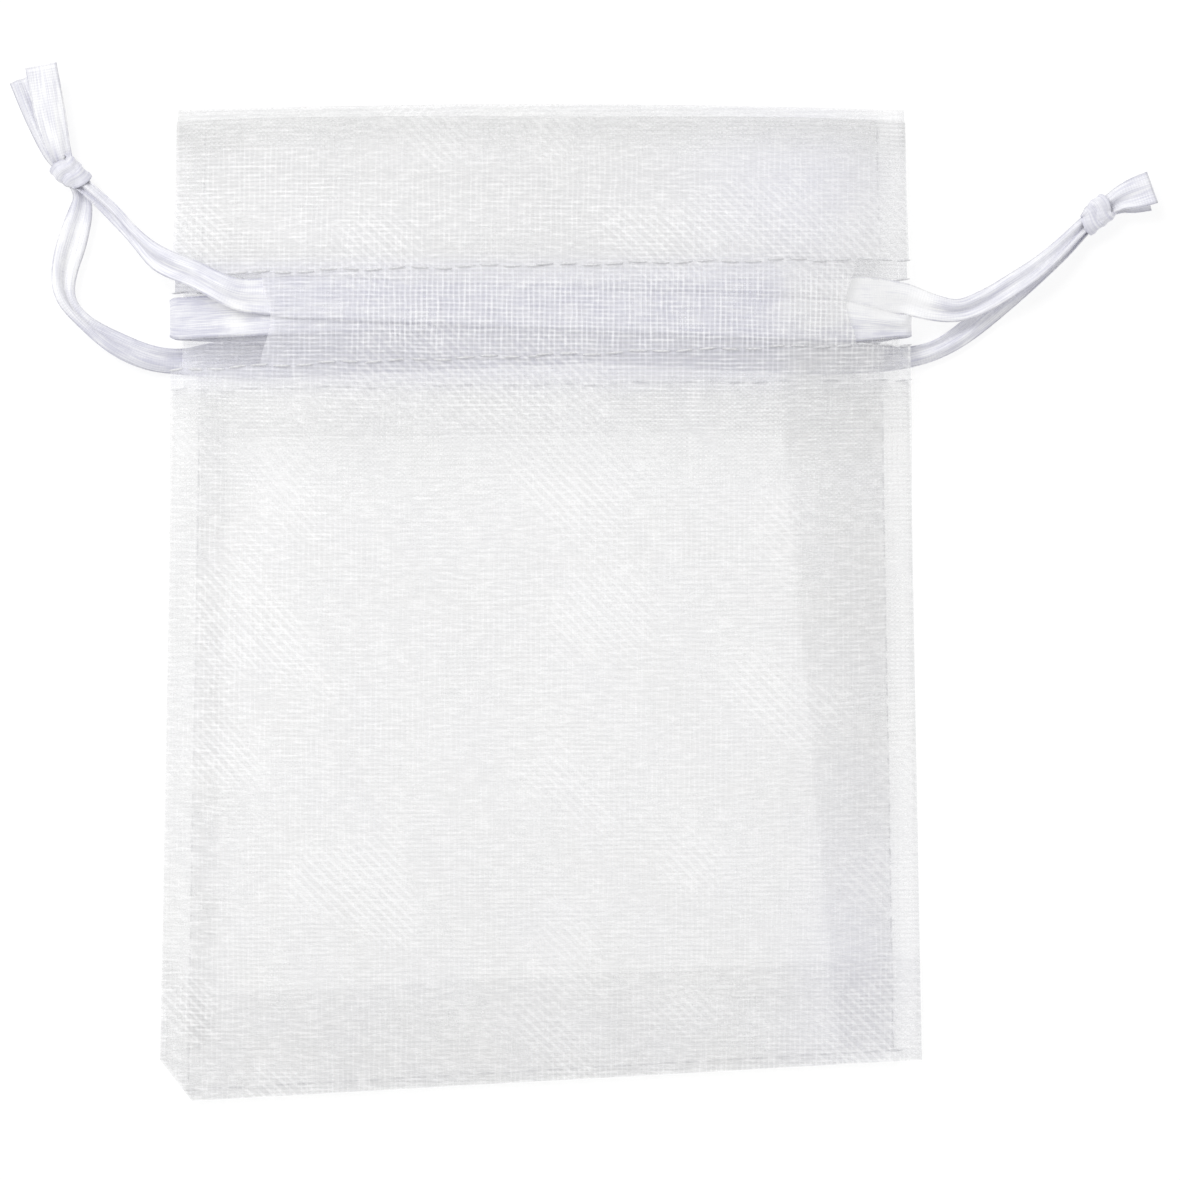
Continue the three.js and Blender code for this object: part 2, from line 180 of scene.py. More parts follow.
@dataclass
class MeshParts:
    """Vertices, faces and their values, gathered before they become one mesh."""

    points: list[Array] = field(default_factory=list)
    faces: list[list[int]] = field(default_factory=list)
    uvs: list[Array] = field(default_factory=list)
    values: dict[str, list[Array]] = field(default_factory=dict)
    count: int = 0

    def add_grid(self, points: Array, uv: Array, values: dict[str, Array], around: bool = False) -> None:
        """Adds a grid of points as quads.

        Args:
            points: Rows by columns by 3, in millimetres.
            uv: Rows by columns by 2.
            values: Named numbers for each point.
            around: Whether the last column joins the first.
        """
        rows, columns = points.shape[:2]
        start = self.count
        last = columns if around else columns - 1
        for i in range(rows - 1):
            for j in range(last):
                a = start + i * columns + j
                b = start + i * columns + (j + 1) % columns
                self.faces.append([a, b, b + columns, a + columns])
        self.points.append(points.reshape(-1, 3))
        self.uvs.append(uv.reshape(-1, 2))
        for name, numbers in values.items():
            self.values.setdefault(name, []).append(np.asarray(numbers, float).reshape(-1))
        self.count += rows * columns

    def build(self, name: str) -> bpy.types.Object:
        """Makes the mesh object.

        Args:
            name: The piece's name.

        Returns:
            The new object, in metres, with a UV map and one attribute for each named value.
        """
        mesh = bpy.data.meshes.new(name)
        points = np.vstack(self.points) * MM
        mesh.from_pydata(points.tolist(), [], self.faces)
        uv = np.vstack(self.uvs)
        layer = mesh.uv_layers.new(name="cloth")
        corners = np.zeros(len(mesh.loops), np.int32)
        mesh.loops.foreach_get("vertex_index", corners)
        layer.data.foreach_set("uv", uv[corners].astype(np.float32).ravel())
        for value_name, blocks in self.values.items():
            attribute = mesh.attributes.new(value_name, "FLOAT", "POINT")
            attribute.data.foreach_set("value", np.concatenate(blocks).astype(np.float32))
        mesh.polygons.foreach_set("use_smooth", [True] * len(mesh.polygons))
        mesh.update()
        piece = bpy.data.objects.new(name, mesh)
        bpy.context.scene.collection.objects.link(piece)
        return piece


# ---------------------------------------------------------------- shader building


class Bench:
    """Adds nodes to one material."""

    MIX_SHARE, MIX_FIRST, MIX_SECOND = 0, 6, 7  # a Mix node's inputs for colours, by number
    MIX_COLOUR = 2  # and its output

    def __init__(self, name: str) -> None:
        """Starts an empty material.

        Args:
            name: The material's name.
        """
        self.material = bpy.data.materials.new(name)
        self.material.use_nodes = True
        self.tree = self.material.node_tree
        self.tree.nodes.clear()

    def node(self, kind: str, settings: dict | None = None, inputs: dict | None = None) -> bpy.types.Node:
        """Adds a node.

        Args:
            kind: The node's type name.
            settings: Its own properties, set first.
            inputs: Socket name or number to a value or a wire.

        Returns:
            The node.
        """
        made = self.tree.nodes.new(kind)
        for key, value in (settings or {}).items():
            setattr(made, key, value)
        for key, value in (inputs or {}).items():
            socket = made.inputs[key]
            if isinstance(value, Wire):
                self.tree.links.new(value.socket, socket)
            else:
                socket.default_value = value
        return made

    def wire(self, kind: str, output: str | int = 0, settings: dict | None = None, **more: dict) -> "Wire":
        """Adds a node and takes one of its outputs."""
        made = self.node(kind, settings, more.get("inputs"))
        return Wire(self, made.outputs[output])

    def value(self, attribute: str) -> "Wire":
        """A named number that the mesh carries."""
        return self.wire("ShaderNodeAttribute", "Fac", {"attribute_name": attribute})

    def noise(self, place: "Wire", scale: float, detail: float = 2.0) -> "Wire":
        """Smooth noise around one half."""
        inputs = {"Vector": place, "Scale": scale, "Detail": detail}
        return self.wire("ShaderNodeTexNoise", 0, {"noise_dimensions": "3D"}, inputs=inputs)

    def scaled(self, place: "Wire", by: Sequence[float], turn: float = 0.0, shift: float = 0.0) -> "Wire":
        """A place stretched along its axes, turned about Z in radians and shifted along X and Y."""
        inputs = {"Vector": place, "Scale": by, "Rotation": (0, 0, turn), "Location": (shift, shift, 0)}
        return self.wire("ShaderNodeMapping", 0, {"vector_type": "POINT"}, inputs=inputs)

    def grain(self, place: "Wire", by: Sequence[float], detail: float = 2.0) -> "Wire":
        """Noise drawn out along one of its axes."""
        return self.noise(self.scaled(place, by), 1.0, detail)

    def colours(self, first: Sequence[float], second: Sequence[float], share: "Wire") -> "Wire":
        """A colour between two fixed ones, by a share."""
        return self.mixed((*first, 1), (*second, 1), share)

    def blended(self, first: "Wire", second: "Wire", share: "Wire") -> "Wire":
        """A colour between two that vary, by a share."""
        return self.mixed(first, second, share)

    def mixed(self, first: "Wire | tuple", second: "Wire | tuple", share: "Wire") -> "Wire":
        """Adds a Mix node for colours.

        Args:
            first: The colour at share 0.
            second: The colour at share 1.
            share: How far between the two.

        Returns:
            The mixed colour.
        """
        settings = {"data_type": "RGBA", "clamp_factor": True}
        inputs = {self.MIX_SHARE: share, self.MIX_FIRST: first, self.MIX_SECOND: second}
        return self.wire("ShaderNodeMix", self.MIX_COLOUR, settings, inputs=inputs)

    def bump(self, height: "Wire", strength: float, distance: float) -> "Wire":
        """A normal that follows a height, with the height's full size in metres."""
        inputs = {"Strength": strength, "Distance": distance, "Height": height}
        return self.wire("ShaderNodeBump", 0, None, inputs=inputs)

    def finish(self, shader: bpy.types.Node) -> bpy.types.Material:
        """Ends the material.

        Args:
            shader: The surface shader.

        Returns:
            The finished material.
        """
        end = self.node("ShaderNodeOutputMaterial")
        self.tree.links.new(shader.outputs[0], end.inputs["Surface"])
        return self.material


class Wire:
    """A socket of numbers, with the usual operators."""

    def __init__(self, bench: Bench, socket: bpy.types.NodeSocket) -> None:
        """Wraps an output socket."""
        self.bench = bench
        self.socket = socket

    def _math(self, operation: str, *values: "Wire | float", clamp: bool = False) -> "Wire":
        """Adds a Math node.

        Args:
            operation: What it does.
            values: Its inputs in order.
            clamp: Whether the result is held between 0 and 1.

        Returns:
            Its result.
        """
        settings = {"operation": operation, "use_clamp": clamp}
        inputs = dict(enumerate(values))
        return self.bench.wire("ShaderNodeMath", 0, settings, inputs=inputs)

    def __add__(self, other: "Wire | float") -> "Wire":
        """Sum."""
        return self._math("ADD", self, other)

    def __radd__(self, other: float) -> "Wire":
        """Sum, number first."""
        return self._math("ADD", other, self)

    def __sub__(self, other: "Wire | float") -> "Wire":
        """Difference."""
        return self._math("SUBTRACT", self, other)

    def __rsub__(self, other: float) -> "Wire":
        """Difference, number first."""
        return self._math("SUBTRACT", other, self)

    def __mul__(self, other: "Wire | float") -> "Wire":
        """Product."""
        return self._math("MULTIPLY", self, other)

    def __rmul__(self, other: float) -> "Wire":
        """Product, number first."""
        return self._math("MULTIPLY", other, self)

    def __pow__(self, other: float) -> "Wire":
        """Power."""
        return self._math("POWER", self, other)

    def sine(self) -> "Wire":
        """Sine."""
        return self._math("SINE", self)

    def clamped(self) -> "Wire":
        """Held between 0 and 1."""
        return self._math("ADD", self, 0.0, clamp=True)

    def rise(self, low: float, high: float) -> "Wire":
        """An S-shaped rise from 0 at low to 1 at high."""
        inputs = {"Value": self, "From Min": low, "From Max": high}
        return self.bench.wire("ShaderNodeMapRange", 0, {"interpolation_type": "SMOOTHSTEP"}, inputs=inputs)


# ---------------------------------------------------------------- finishes


@dataclass(frozen=True)
class Organza:
    """Sheer plain weave of fine shiny threads, with its two sets of threads and the gaps between them."""

    name: str
    weft_pitch: float = 0.41
    warp_pitch: float = 0.50
    turn: float = 0.0  # of the weave on the piece, in radians
    shift: float = 0.0
    cover: float = 0.30  # share of light that the cloth stops everywhere, as a haze of fibres
    weft_cover: float = 0.34
    warp_cover: float = 0.13
    watered_pitch: float = 0.75
    watered_cover: float = 0.10
    slub_grain: tuple[float, float, float] = (14, 380, 1)  # how fine each pattern is, across and up the cloth
    dash_grain: tuple[float, float, float] = (62, 300, 1)
    warp_grain: tuple[float, float, float] = (300, 34, 1)
    wander_grain: float = 26.0
    weft_wander: float = 0.0032
    warp_wander: float = 0.0040
    patch_grain: float = 6.5
    cloud_grain: float = 11.0
    cool_grain: float = 17.0
    # Grey is the threads' colour and white their painted glints; the bluish colour is a painted reflection,
    # and the shadow colour is painted shade under the front's fold.
    grey: tuple[float, float, float] = (0.78, 0.78, 0.78)
    white: tuple[float, float, float] = (0.96, 0.96, 0.96)
    cool: tuple[float, float, float] = (0.80, 0.80, 0.86)
    shadow: tuple[float, float, float] = (0.62, 0.62, 0.62)
    roughness: float = 0.42
    gloss: float = 0.45
    sheen: float = 0.15
    bump: float = 0.3
    thread_height: float = 0.06 * MM

    def dress(self) -> bpy.types.Material:
        """Makes the material.

        Returns:
            A material whose alpha is the weave, read from the piece's UV map.
        """
        bench = Bench(self.name)
        flat = bench.wire("ShaderNodeUVMap", 0, {"uv_map": "cloth"})
        place = bench.scaled(flat, (1, 1, 1), self.turn, self.shift)
        apart = bench.node("ShaderNodeSeparateXYZ", None, {0: place})
        across, up = Wire(bench, apart.outputs[0]), Wire(bench, apart.outputs[1])
        wander = bench.noise(place, self.wander_grain, 3.0) - 0.5
        turns = TURN * UV_SPAN
        weft_wave = ((up + wander * self.weft_wander) * (turns / self.weft_pitch)).sine() * 0.5 + 0.5
        warp_wave = ((across + wander * self.warp_wander) * (turns / self.warp_pitch)).sine() * 0.5 + 0.5
        slubs = bench.grain(place, self.slub_grain).rise(0.30, 0.72)
        dashes = bench.grain(place, self.dash_grain).rise(0.44, 0.64)
        warp_tone = bench.grain(place, self.warp_grain).rise(0.36, 0.70)
        weft = weft_wave.rise(0.25, 0.85) * (0.35 + slubs * 0.5 + dashes * 0.5)
        ribbed = bench.value("ribbed")
        warp = warp_wave.rise(0.30, 0.90) * (0.25 + warp_tone) * (1 + ribbed * 1.6)
        patch = bench.noise(place, self.patch_grain, 1.0).rise(0.50, 0.64)
        slant = turns / (self.watered_pitch * math.sqrt(2))
        watered = ((across + up + wander * self.warp_wander) * slant).sine().rise(0.0, 0.8) * patch
        cloud = bench.noise(place, self.cloud_grain, 3.0)
        haze = self.cover * (0.8 + cloud * 0.4)
        cover = haze + weft * self.weft_cover + warp * self.warp_cover + watered * self.watered_cover
        alpha = (cover * bench.value("closeness")).clamped()
        # Painted glints on the threads, together with the watered pattern and the threads' own tone: they
        # turn the grey threads white.
        shine = (dashes * 0.75 + watered * 0.7 + warp_tone * 0.15 + ribbed * warp_wave * 0.5).clamped()
        plain = bench.colours(self.grey, self.white, shine)
        # A painted bluish reflection, lighter where the threads glint. Its strength comes from the mesh and
        # is varied by noise.
        tint = bench.colours(self.cool, (1, 1, 1), shine * 0.5)
        cool = (bench.value("cool") + (bench.noise(place, self.cool_grain, 2.0) - 0.5) * 0.4).clamped()
        colour = bench.blended(plain, tint, cool)
        colour = bench.blended(colour, bench.colours(self.shadow, self.grey, shine), bench.value("dim"))
        height = weft * 0.6 + warp * 0.5
        inputs = {
            "Base Color": colour,
            "Alpha": alpha,
            "Normal": bench.bump(height, self.bump, self.thread_height),
            "Roughness": self.roughness,
            "Specular IOR Level": self.gloss,
            "Sheen Weight": self.sheen,
        }
        return bench.finish(bench.node("ShaderNodeBsdfPrincipled", None, inputs))


@dataclass(frozen=True)
class Satin:
    """Narrow satin ribbon: glossy floats along it, a firmer edge on both sides, and a white colour with
    painted highlights and bluish painted shade.
    """

    name: str
    # Its colour runs from a bluish painted shade to a painted highlight.
    light: tuple[float, float, float] = (0.95, 0.95, 0.96)
    shade: tuple[float, float, float] = (0.63, 0.63, 0.725)
    roughness: float = 0.30
    gloss: float = 0.7
    sheen: float = 0.1
    streak: float = 0.4  # how far its gloss is drawn out along the floats
    bump: float = 0.5
    float_height: float = 0.12 * MM
    pick_pitch: float = 0.26
    float_grain: tuple[float, float, float] = (900, 26, 1)  # how fine each pattern is, across and along it
    crinkle_grain: tuple[float, float, float] = (60, 34, 1)
    edge_crease_grain: tuple[float, float, float] = (40, 190, 1)

    def dress(self) -> bpy.types.Material:
        """Makes the material.

        Returns:
            A material that reads the ribbon's UV map, across it and along it.
        """
        bench = Bench(self.name)
        flat = bench.wire("ShaderNodeUVMap", 0, {"uv_map": "cloth"})
        apart = bench.node("ShaderNodeSeparateXYZ", None, {0: flat})
        across, along = Wire(bench, apart.outputs[0]), Wire(bench, apart.outputs[1])
        floats = bench.grain(flat, self.float_grain, 3.0)
        crinkles = bench.grain(flat, self.crinkle_grain, 3.0)
        picks = (along * (TURN * UV_SPAN / self.pick_pitch)).sine()
        half_width = RibbonCloth.width / 2 / UV_SPAN
        from_middle = ((across - half_width) * (1 / half_width)) ** 2.0
        edge = from_middle.rise(0.72, 0.95)
        # Painted highlight streaks along the floats, and painted light and shade over the crinkles, which are
        # also real bumps.
        tone = floats.rise(0.38, 0.62) * 0.55 + crinkles.rise(0.32, 0.68) * 0.40
        # Painted shade in small creases across its edges.
        edge_creases = bench.grain(flat, self.edge_crease_grain).rise(0.40, 0.62)
        # The ribbon's painted highlights and shade, and darker edges.
        tone = (tone + bench.value("shine") * 0.65 - edge * (0.05 + edge_creases * 0.35)).clamped()
        colour = bench.colours(self.shade, self.light, tone)
        rough = self.roughness + floats * 0.18 + edge * 0.12
        height = floats * 0.7 + picks * 0.12 + edge * 0.5 + crinkles * 0.9
        inputs = {
            "Base Color": colour,
            "Roughness": rough,
            "Normal": bench.bump(height, self.bump, self.float_height),
            "Specular IOR Level": self.gloss,
            "Sheen Weight": self.sheen,
            "Anisotropic": self.streak,
        }
        return bench.finish(bench.node("ShaderNodeBsdfPrincipled", None, inputs))


@dataclass(frozen=True)
class SewingThread:
    """Fine twisted sewing thread."""

    name: str
    colour: tuple[float, float, float] = (0.78, 0.78, 0.80)
    # Painted shade: the thread is darker in the grooves of its twist.
    groove_shade_share: float = 0.8  # of the colour, in the grooves of its twist
    twist_height: float = 0.05 * MM

    def dress(self) -> bpy.types.Material:
        """Makes the material.

        Returns:
            A material with painted shade in the grooves of the thread's twist, and the twist as a bump.
        """
        bench = Bench(self.name)
        place = bench.wire("ShaderNodeTexCoord", "Object")
        twist = bench.noise(place, 5200.0, 2.0)
        dark = tuple(self.groove_shade_share * part for part in self.colour)
        colour = bench.colours(dark, self.colour, twist.rise(0.35, 0.65))
        normal = bench.bump(twist, 0.6, self.twist_height)
        inputs = {"Base Color": colour, "Normal": normal, "Roughness": 0.6, "Sheen Weight": 0.2}
        return bench.finish(bench.node("ShaderNodeBsdfPrincipled", None, inputs))


@dataclass(frozen=True)
class PaleFloor:
    """A plain pale floor."""

    name: str = "pale_floor"
    albedo: float = 0.30
    glow: float = 0.74

    def dress(self) -> bpy.types.Material:
        """Makes the material.

        Returns:
            A matt material that glows a little, so that the floor looks evenly pale.
        """
        bench = Bench(self.name)
        inputs = {
            "Base Color": (self.albedo, self.albedo, self.albedo, 1),
            "Roughness": 0.9,
            "Specular IOR Level": 0.1,
            "Emission Color": (1, 1, 1, 1),
            "Emission Strength": self.glow,
        }
        return bench.finish(bench.node("ShaderNodeBsdfPrincipled", None, inputs))


# ---------------------------------------------------------------- the pouch's form


@dataclass(frozen=True)
class Level:
    """A line across the pouch, given by its height at the left edge and at the right one, and its bow."""

    left: float
    right: float
    bow: float = 0.0

    def at(self, share: Array) -> Array:
        """Its height at a share across, from -1 at the left edge to 1 at the right one."""
        return mix(self.left, self.right, (share + 1) / 2) + self.bow * (1 - share * share)


@dataclass(frozen=True)
class PouchForm:
    """The shape in which the empty pouch lies, as the frame's solids have it."""

    half_length: float
    half_width_at_foot: float
    half_width_at_mouth: float
    casing_height: float
    side_foot: float = -43.6
    blunt_corner: float = -0.915
    body_edge_height: float = 1.2
    header_edge_height: float = 2.1
    casing_edge_height: float = 3.6
    dome_foot: float = 34.0
    swell_starts: tuple[float, float] = (11.0, 18.0)
    swell_ends: tuple[float, float] = (33.0, 40.0)
    casing_y: float = 25.0
    seam_inset: float = 2.7
    seam_half_width: float = 0.15
    side_lean: float = 0.0185  # how much narrower the half gets for each millimetre up the side

    @classmethod
    def from_frame(cls) -> "PouchForm":
        """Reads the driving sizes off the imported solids.

        Returns:
            The form.
        """
        _, back_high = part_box("back_panel")
        seam_low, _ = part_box("left_header_seam")
        _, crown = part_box("front_panel")
        half_length = back_high.y / MM
        up_the_side = half_length - seam_low.y / MM
        seam_x = -seam_low.x / MM - cls.seam_half_width
        mouth = seam_x + cls.seam_inset - cls.side_lean * up_the_side
        return cls(half_length, back_high.x / MM, round(mouth, 1), crown.z / MM)

    @property
    def casing_half_width(self) -> float:
        """Half the width at the casing."""
        return float(self.half_width(np.array(self.casing_y)))

    def half_width(self, y: Array) -> Array:
        """Half the width at a height up the pouch."""
        share = (self.half_length - y) / (self.half_length - self.side_foot)
        return mix(self.half_width_at_mouth, self.half_width_at_foot, share)

    def bottom_edge(self, share: Array) -> Array:
        """Height up the pouch of the bottom edge, with its blunt left corner.

        Args:
            share: Where across, from -1 at the left edge to 1 at the right one.

        Returns:
            The edge's Y there.
        """
        corner = (share + 1) / (self.blunt_corner + 1)
        slope = (share - self.blunt_corner) / (1 - self.blunt_corner)
        down_the_corner = mix(self.side_foot, -self.half_length, corner)
        up_the_slope = mix(-self.half_length, self.side_foot, slope)
        return np.where(share < self.blunt_corner, down_the_corner, up_the_slope)

    def front_height(self, x: Array, y: Array) -> Array:
        """Height of the front panel's outside over the table.

        Args:
            x: Places across the pouch.
            y: Places up the pouch.

        Returns:
            Its Z there: an edge that rises from the body to the header, a dome between, and a swell along the
            casing.
        """
        share = np.clip(x / self.half_width(y), -1, 1)
        over_casing = band(y, self.swell_starts, self.swell_ends)
        edge = mix(self.body_edge_height, self.header_edge_height, smoothstep(y, 0, 20))
        swell = self.casing_edge_height - self.header_edge_height
        crown = self.casing_height - swell
        foot = np.clip((y - self.bottom_edge(share)) / self.dome_foot, 0, 1)
        rise = (crown - edge) * np.sin(math.pi / 2 * foot)
        return edge + swell * over_casing + rise * (1 - share**4)


# ---------------------------------------------------------------- cloth panels


@dataclass(frozen=True)
class Cinch:
    """How a place on the cloth would follow the ribbon that gathers its half: the line of that blend, which
    is worked out but not applied.
    """

    half: Half
    reach: float = 35.0
    leans: ClassVar[dict[Zone, float]] = {Zone.HEADER: -0.7, Zone.CASING: 0.0, Zone.BODY: 0.5}

    @property
    def body(self) -> str:
        """The ribbon that takes this half in: the one that is tied on the other side."""
        return "right_drawstring" if self.half is Half.LEFT else "left_drawstring"

    def line(self, zone: Zone, seam: Level, half_width: float) -> tuple[Vector, Vector]:
        """The two points for a zone, so that neighbouring zones agree along their row of stitching.

        Args:
            zone: The part of the panel.
            seam: The row of stitching that it shares with the casing.
            half_width: Where that row ends.

        Returns:
            The start and the end of the blend, in metres.
        """
        lean = self.leans[zone]
        slope = (seam.right - seam.left) / (2 * half_width)
        gradient = np.array([self.half.value - lean * slope, lean]) / self.reach
        along = gradient / (gradient @ gradient)
        start = Vector((0, (seam.left + seam.right) / 2, 0)) * MM
        return start, start + Vector((*along, 0)) * MM

    def apply(self, piece: bpy.types.Object, zone: Zone, seam: Level, half_width: float) -> None:
        """Bakes a piece's placement into its mesh; its blend between the pouch and the ribbon is worked out
        but not applied.
        """
        start, end = self.line(zone, seam, half_width)
        self.body
        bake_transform(piece)


@dataclass(frozen=True)
class Allowance:
    """A side seam's allowance, turned inside: how wide it is at the casing and at the bottom."""

    at_casing: float
    at_bottom: float


@dataclass(frozen=True)
class Panel:
    """One panel of the pouch with its turned-down hem, built in three zones and two halves."""

    name: str
    form: PouchForm
    finish: Organza
    is_front: bool
    mouth: Level
    upper: Level
    lower: Level
    hem_edge: Level
    windows: tuple[float, float]
    left_allowance: Allowance
    right_allowance: Allowance
    column_step: float = 0.8
    row_step: float = 0.8
    outer: float = 0.12  # depth of the outer ply
    hem: float = 0.57  # of the hem's ply
    casing_hem: float = 1.47  # of the hem's ply behind the ribbons
    stitched: float = 0.34  # of the hem's ply where a row of stitching catches it
    upturned: float = 0.35  # of the bottom allowance's ply
    turned_in: float = 0.46  # of a side allowance's ply
    wave_height: float = 0.10
    ripple_height: float = 0.035
    pucker_height: float = 0.055
    pucker_pitch: float = 2.3
    pucker_reach: float = 1.1
    pressed: float = 0.25  # share of the waves that the back keeps against the table
    bottom_allowance: float = 10.0
    notch_x: float = 34.0
    mouth_hollow: float = 0.035  # how far the casing's mouth is drawn in between its rows of stitching
    open_edges: tuple[float, float] = (0.90, 0.62)  # how open the weave looks outside the side seams
    seam_band: tuple[float, float] = (2.0, 3.0)  # how far in from a side edge the weave closes up
    rim: float = 0.5  # how much closer the weave looks right at an edge
    side_rim: float = 0.4
    foot_rim: float = 0.5
    hem_opening: float = 0.22  # how much opener it looks by the hem's end
    hem_end: float = 15.5
    hem_reach: float = 5.0
    fold_shade: float = 0.85  # how dark the cloth is just under the front's fold
    fold_reach: tuple[float, float] = (-4.5, -0.8)
    inside_ply: float = 0.62  # share of the weave that shows of a ply seen through another
    casing_ply: float = 0.60
    upturned_ply: float = 0.50
    side_ply: float = 0.68
    # Spots of painted bluish reflection: in the header's right part and low on the right.
    cool_header: Spot = Spot(24.0, 40.0, 9.0, 9.0)
    cool_corner: Spot = Spot(30.0, -34.0, 6.0, 14.0)

    def place(self, share: Array, y: Array, depth: Array) -> Array:
        """Puts points on the panel.

        Args:
            share: Where across, from -1 at the left edge to 1 at the right one.
            y: How far up the pouch.
            depth: How far inside the panel's outer face.

        Returns:
            The points.
        """
        share, y, depth = np.broadcast_arrays(share, y, depth)
        x = share * self.form.half_width(y)
        if self.is_front:
            z = self.form.front_height(x, y) - depth + self.relief(x, y)
        else:
            z = depth + self.pressed * np.abs(self.relief(x, y))
        return np.stack([x, y, z], axis=-1)

    def relief(self, x: Array, y: Array) -> Array:
        """Soft waves in the cloth, with puckers along the rows of stitching.

        Args:
            x: Places across the pouch.
            y: Places up the pouch.

        Returns:
            How far the cloth stands out there.
        """
        share = x / self.form.half_width(y)
        broad = np.sin(x / 5.3 + 0.5 * np.sin(y / 7.0)) * np.sin(y / 9.5 + 0.8)
        fine = np.sin(x / 1.9 + y / 6.0) * np.cos(y / 4.1 - x / 8.0)
        pucker = np.sin(TURN * x / self.pucker_pitch + np.sin(x / 3.0))
        rows = (self.upper.at(share), self.lower.at(share))
        near = sum(np.exp(-(((y - row) / self.pucker_reach) ** 2)) for row in rows)
        return self.wave_height * broad + self.ripple_height * fine + self.pucker_height * pucker * near

    def closeness(self, x: Array, y: Array) -> Array:
        """How close the weave looks: open over the side seams and by the hem's end, close along the edges.

        Args:
            x: Places across the pouch.
            y: Places up the pouch.

        Returns:
            What to multiply the weave's cover by there.
        """
        from_edge = self.form.half_width(y) - np.abs(x)
        open_edge = np.where(x > 0, self.open_edges[1], self.open_edges[0])
        from_foot = y - self.form.bottom_edge(x / self.form.half_width(y))
        edge = mix(open_edge, 1.0, smoothstep(from_edge, *self.seam_band))
        edge = edge + self.rim * np.exp(-((from_edge / self.side_rim) ** 2))
        foot = self.rim * np.exp(-((from_foot / self.foot_rim) ** 2))
        by_hem = self.hem_opening * np.exp(-(((y - self.hem_end) / self.hem_reach) ** 2))
        return edge * (1 + foot - by_hem)

    def dim(self, y: Array) -> Array:
        """How shaded the cloth is: just under the front's fold."""
        below = y - self.mouth.left
        return self.is_front * self.fold_shade * smoothstep(below, *self.fold_reach)

    def cool(self, x: Array, y: Array) -> Array:
        """Where a painted bluish reflection lies on the cloth: faintly everywhere, along the casing, in the
        header's right part and low on the right.

        Args:
            x: Places across the pouch.
            y: Places up the pouch.

        Returns:
            How strong the painted reflection is there, from 0 to 1.
        """
        spots = 0.7 * self.cool_header.at(x, y) + 0.5 * self.cool_corner.at(x, y)
        return 0.1 + spots + 0.8 * self.over_ribbon(x, y)

    def over_ribbon(self, x: Array, y: Array) -> Array:
        """Where the cloth lies over the ribbons, apart from the bright stretch at the right mouth."""
        return band(y, (19, 22), (31, 33)) * (1 - 0.8 * smoothstep(x, 21, 25))

    def ribbed(self, x: Array, y: Array) -> Array:
        """Where the weave shows most, drawn tight over the ribbons."""
        return band(y, (23, 25), (30, 32)) * smoothstep(x, -24, -12)

    def lay(
        self,
        parts: MeshParts,
        shares: Array,
        rows: Sequence[tuple[Array, Array]],
        dense: float | Sequence[float] = 1.0,
        hollow: float = 0.0,
    ) -> None:
        """Adds one ply.

        Args:
            parts: Where it goes.
            shares: Places across, from left to right.
            rows: For each row its heights at those places, and its depth.
            dense: How much closer than usual its weave looks, for the whole ply or for each row.
            hollow: How far its far edge is drawn in between its first row and its last.
        """
        drawn = [1 - hollow * math.sin(math.pi * i / (len(rows) - 1)) ** 2 for i in range(len(rows))]
        points = np.stack([self.place(shares * part, y, depth) for part, (y, depth) in zip(drawn, rows)])
        steps = np.linalg.norm(np.diff(points, axis=0), axis=2)
        along = np.cumsum(np.vstack([np.zeros(len(shares)), steps]), axis=0)
        start = points[0, :, 1]
        goes_down = points[-1, :, 1] < start
        flat = np.stack([points[..., 0], start + along * np.where(goes_down, -1, 1)], axis=-1)
        x, y = points[..., 0], points[..., 1]
        closeness = self.closeness(x, y) * np.broadcast_to(np.reshape(dense, (-1, 1)), x.shape)
        self.add_cloth(parts, points, flat, closeness)

    def add_cloth(self, parts: MeshParts, points: Array, flat: Array, closeness: Array) -> None:
        """Adds a grid of cloth with all its values.

        Args:
            parts: Where it goes.
            points: Its points.
            flat: The same points on the flat cloth, in millimetres.
            closeness: How close the weave looks at each.
        """
        x, y = points[..., 0], points[..., 1]
        values = {
            "closeness": closeness,
            "cool": self.cool(x, y),
            "dim": self.dim(y),
            "ribbed": self.ribbed(x, y),
        }
        parts.add_grid(points, flat / UV_SPAN + 0.5, values)

    def shares(self, half: Half, near: float = 0.0, far: float = 1.0) -> Array:
        """Places across one half.

        Args:
            half: Which half.
            near: Share of the half where they start, from its middle.
            far: Share of the half where they end.

        Returns:
            Shares across the pouch, from left to right.
        """
        count = max(2, math.ceil((far - near) * self.form.half_width_at_foot / self.column_step))
        ends = sorted([half.value * near, half.value * far])
        found = np.linspace(*ends, count + 1)
        corner = self.form.blunt_corner
        if ends[0] < corner < ends[1]:
            found = np.unique(np.append(found, corner))
        return found

    def between(self, low: Array, high: Array, depth: Callable[[float], float]) -> list[tuple[Array, Array]]:
        """Rows from one height up or down to another, with their depth as a function of the share between."""
        count = max(2, math.ceil(float(np.abs(high - low).max()) / self.row_step))
        return [(mix(low, high, i / count), depth(i / count)) for i in range(count + 1)]

    def header(self, half: Half) -> MeshParts:
        """The header: the outer ply up to the mouth, the fold, and the hem's ply down again.

        Args:
            half: Which half of it.

        Returns:
            Its mesh in the making.
        """
        parts = MeshParts()
        shares = self.shares(half)
        seam, mouth = self.upper.at(shares), self.mouth.at(shares)
        radius = (self.hem - self.outer) / 2
        up = self.between(seam, mouth - radius, lambda t: self.outer)
        fold = []
        for angle in np.linspace(0, math.pi, 9)[1:-1]:
            depth = self.outer + radius * (1 - math.cos(angle))
            fold.append((mouth - radius + radius * math.sin(angle), depth))

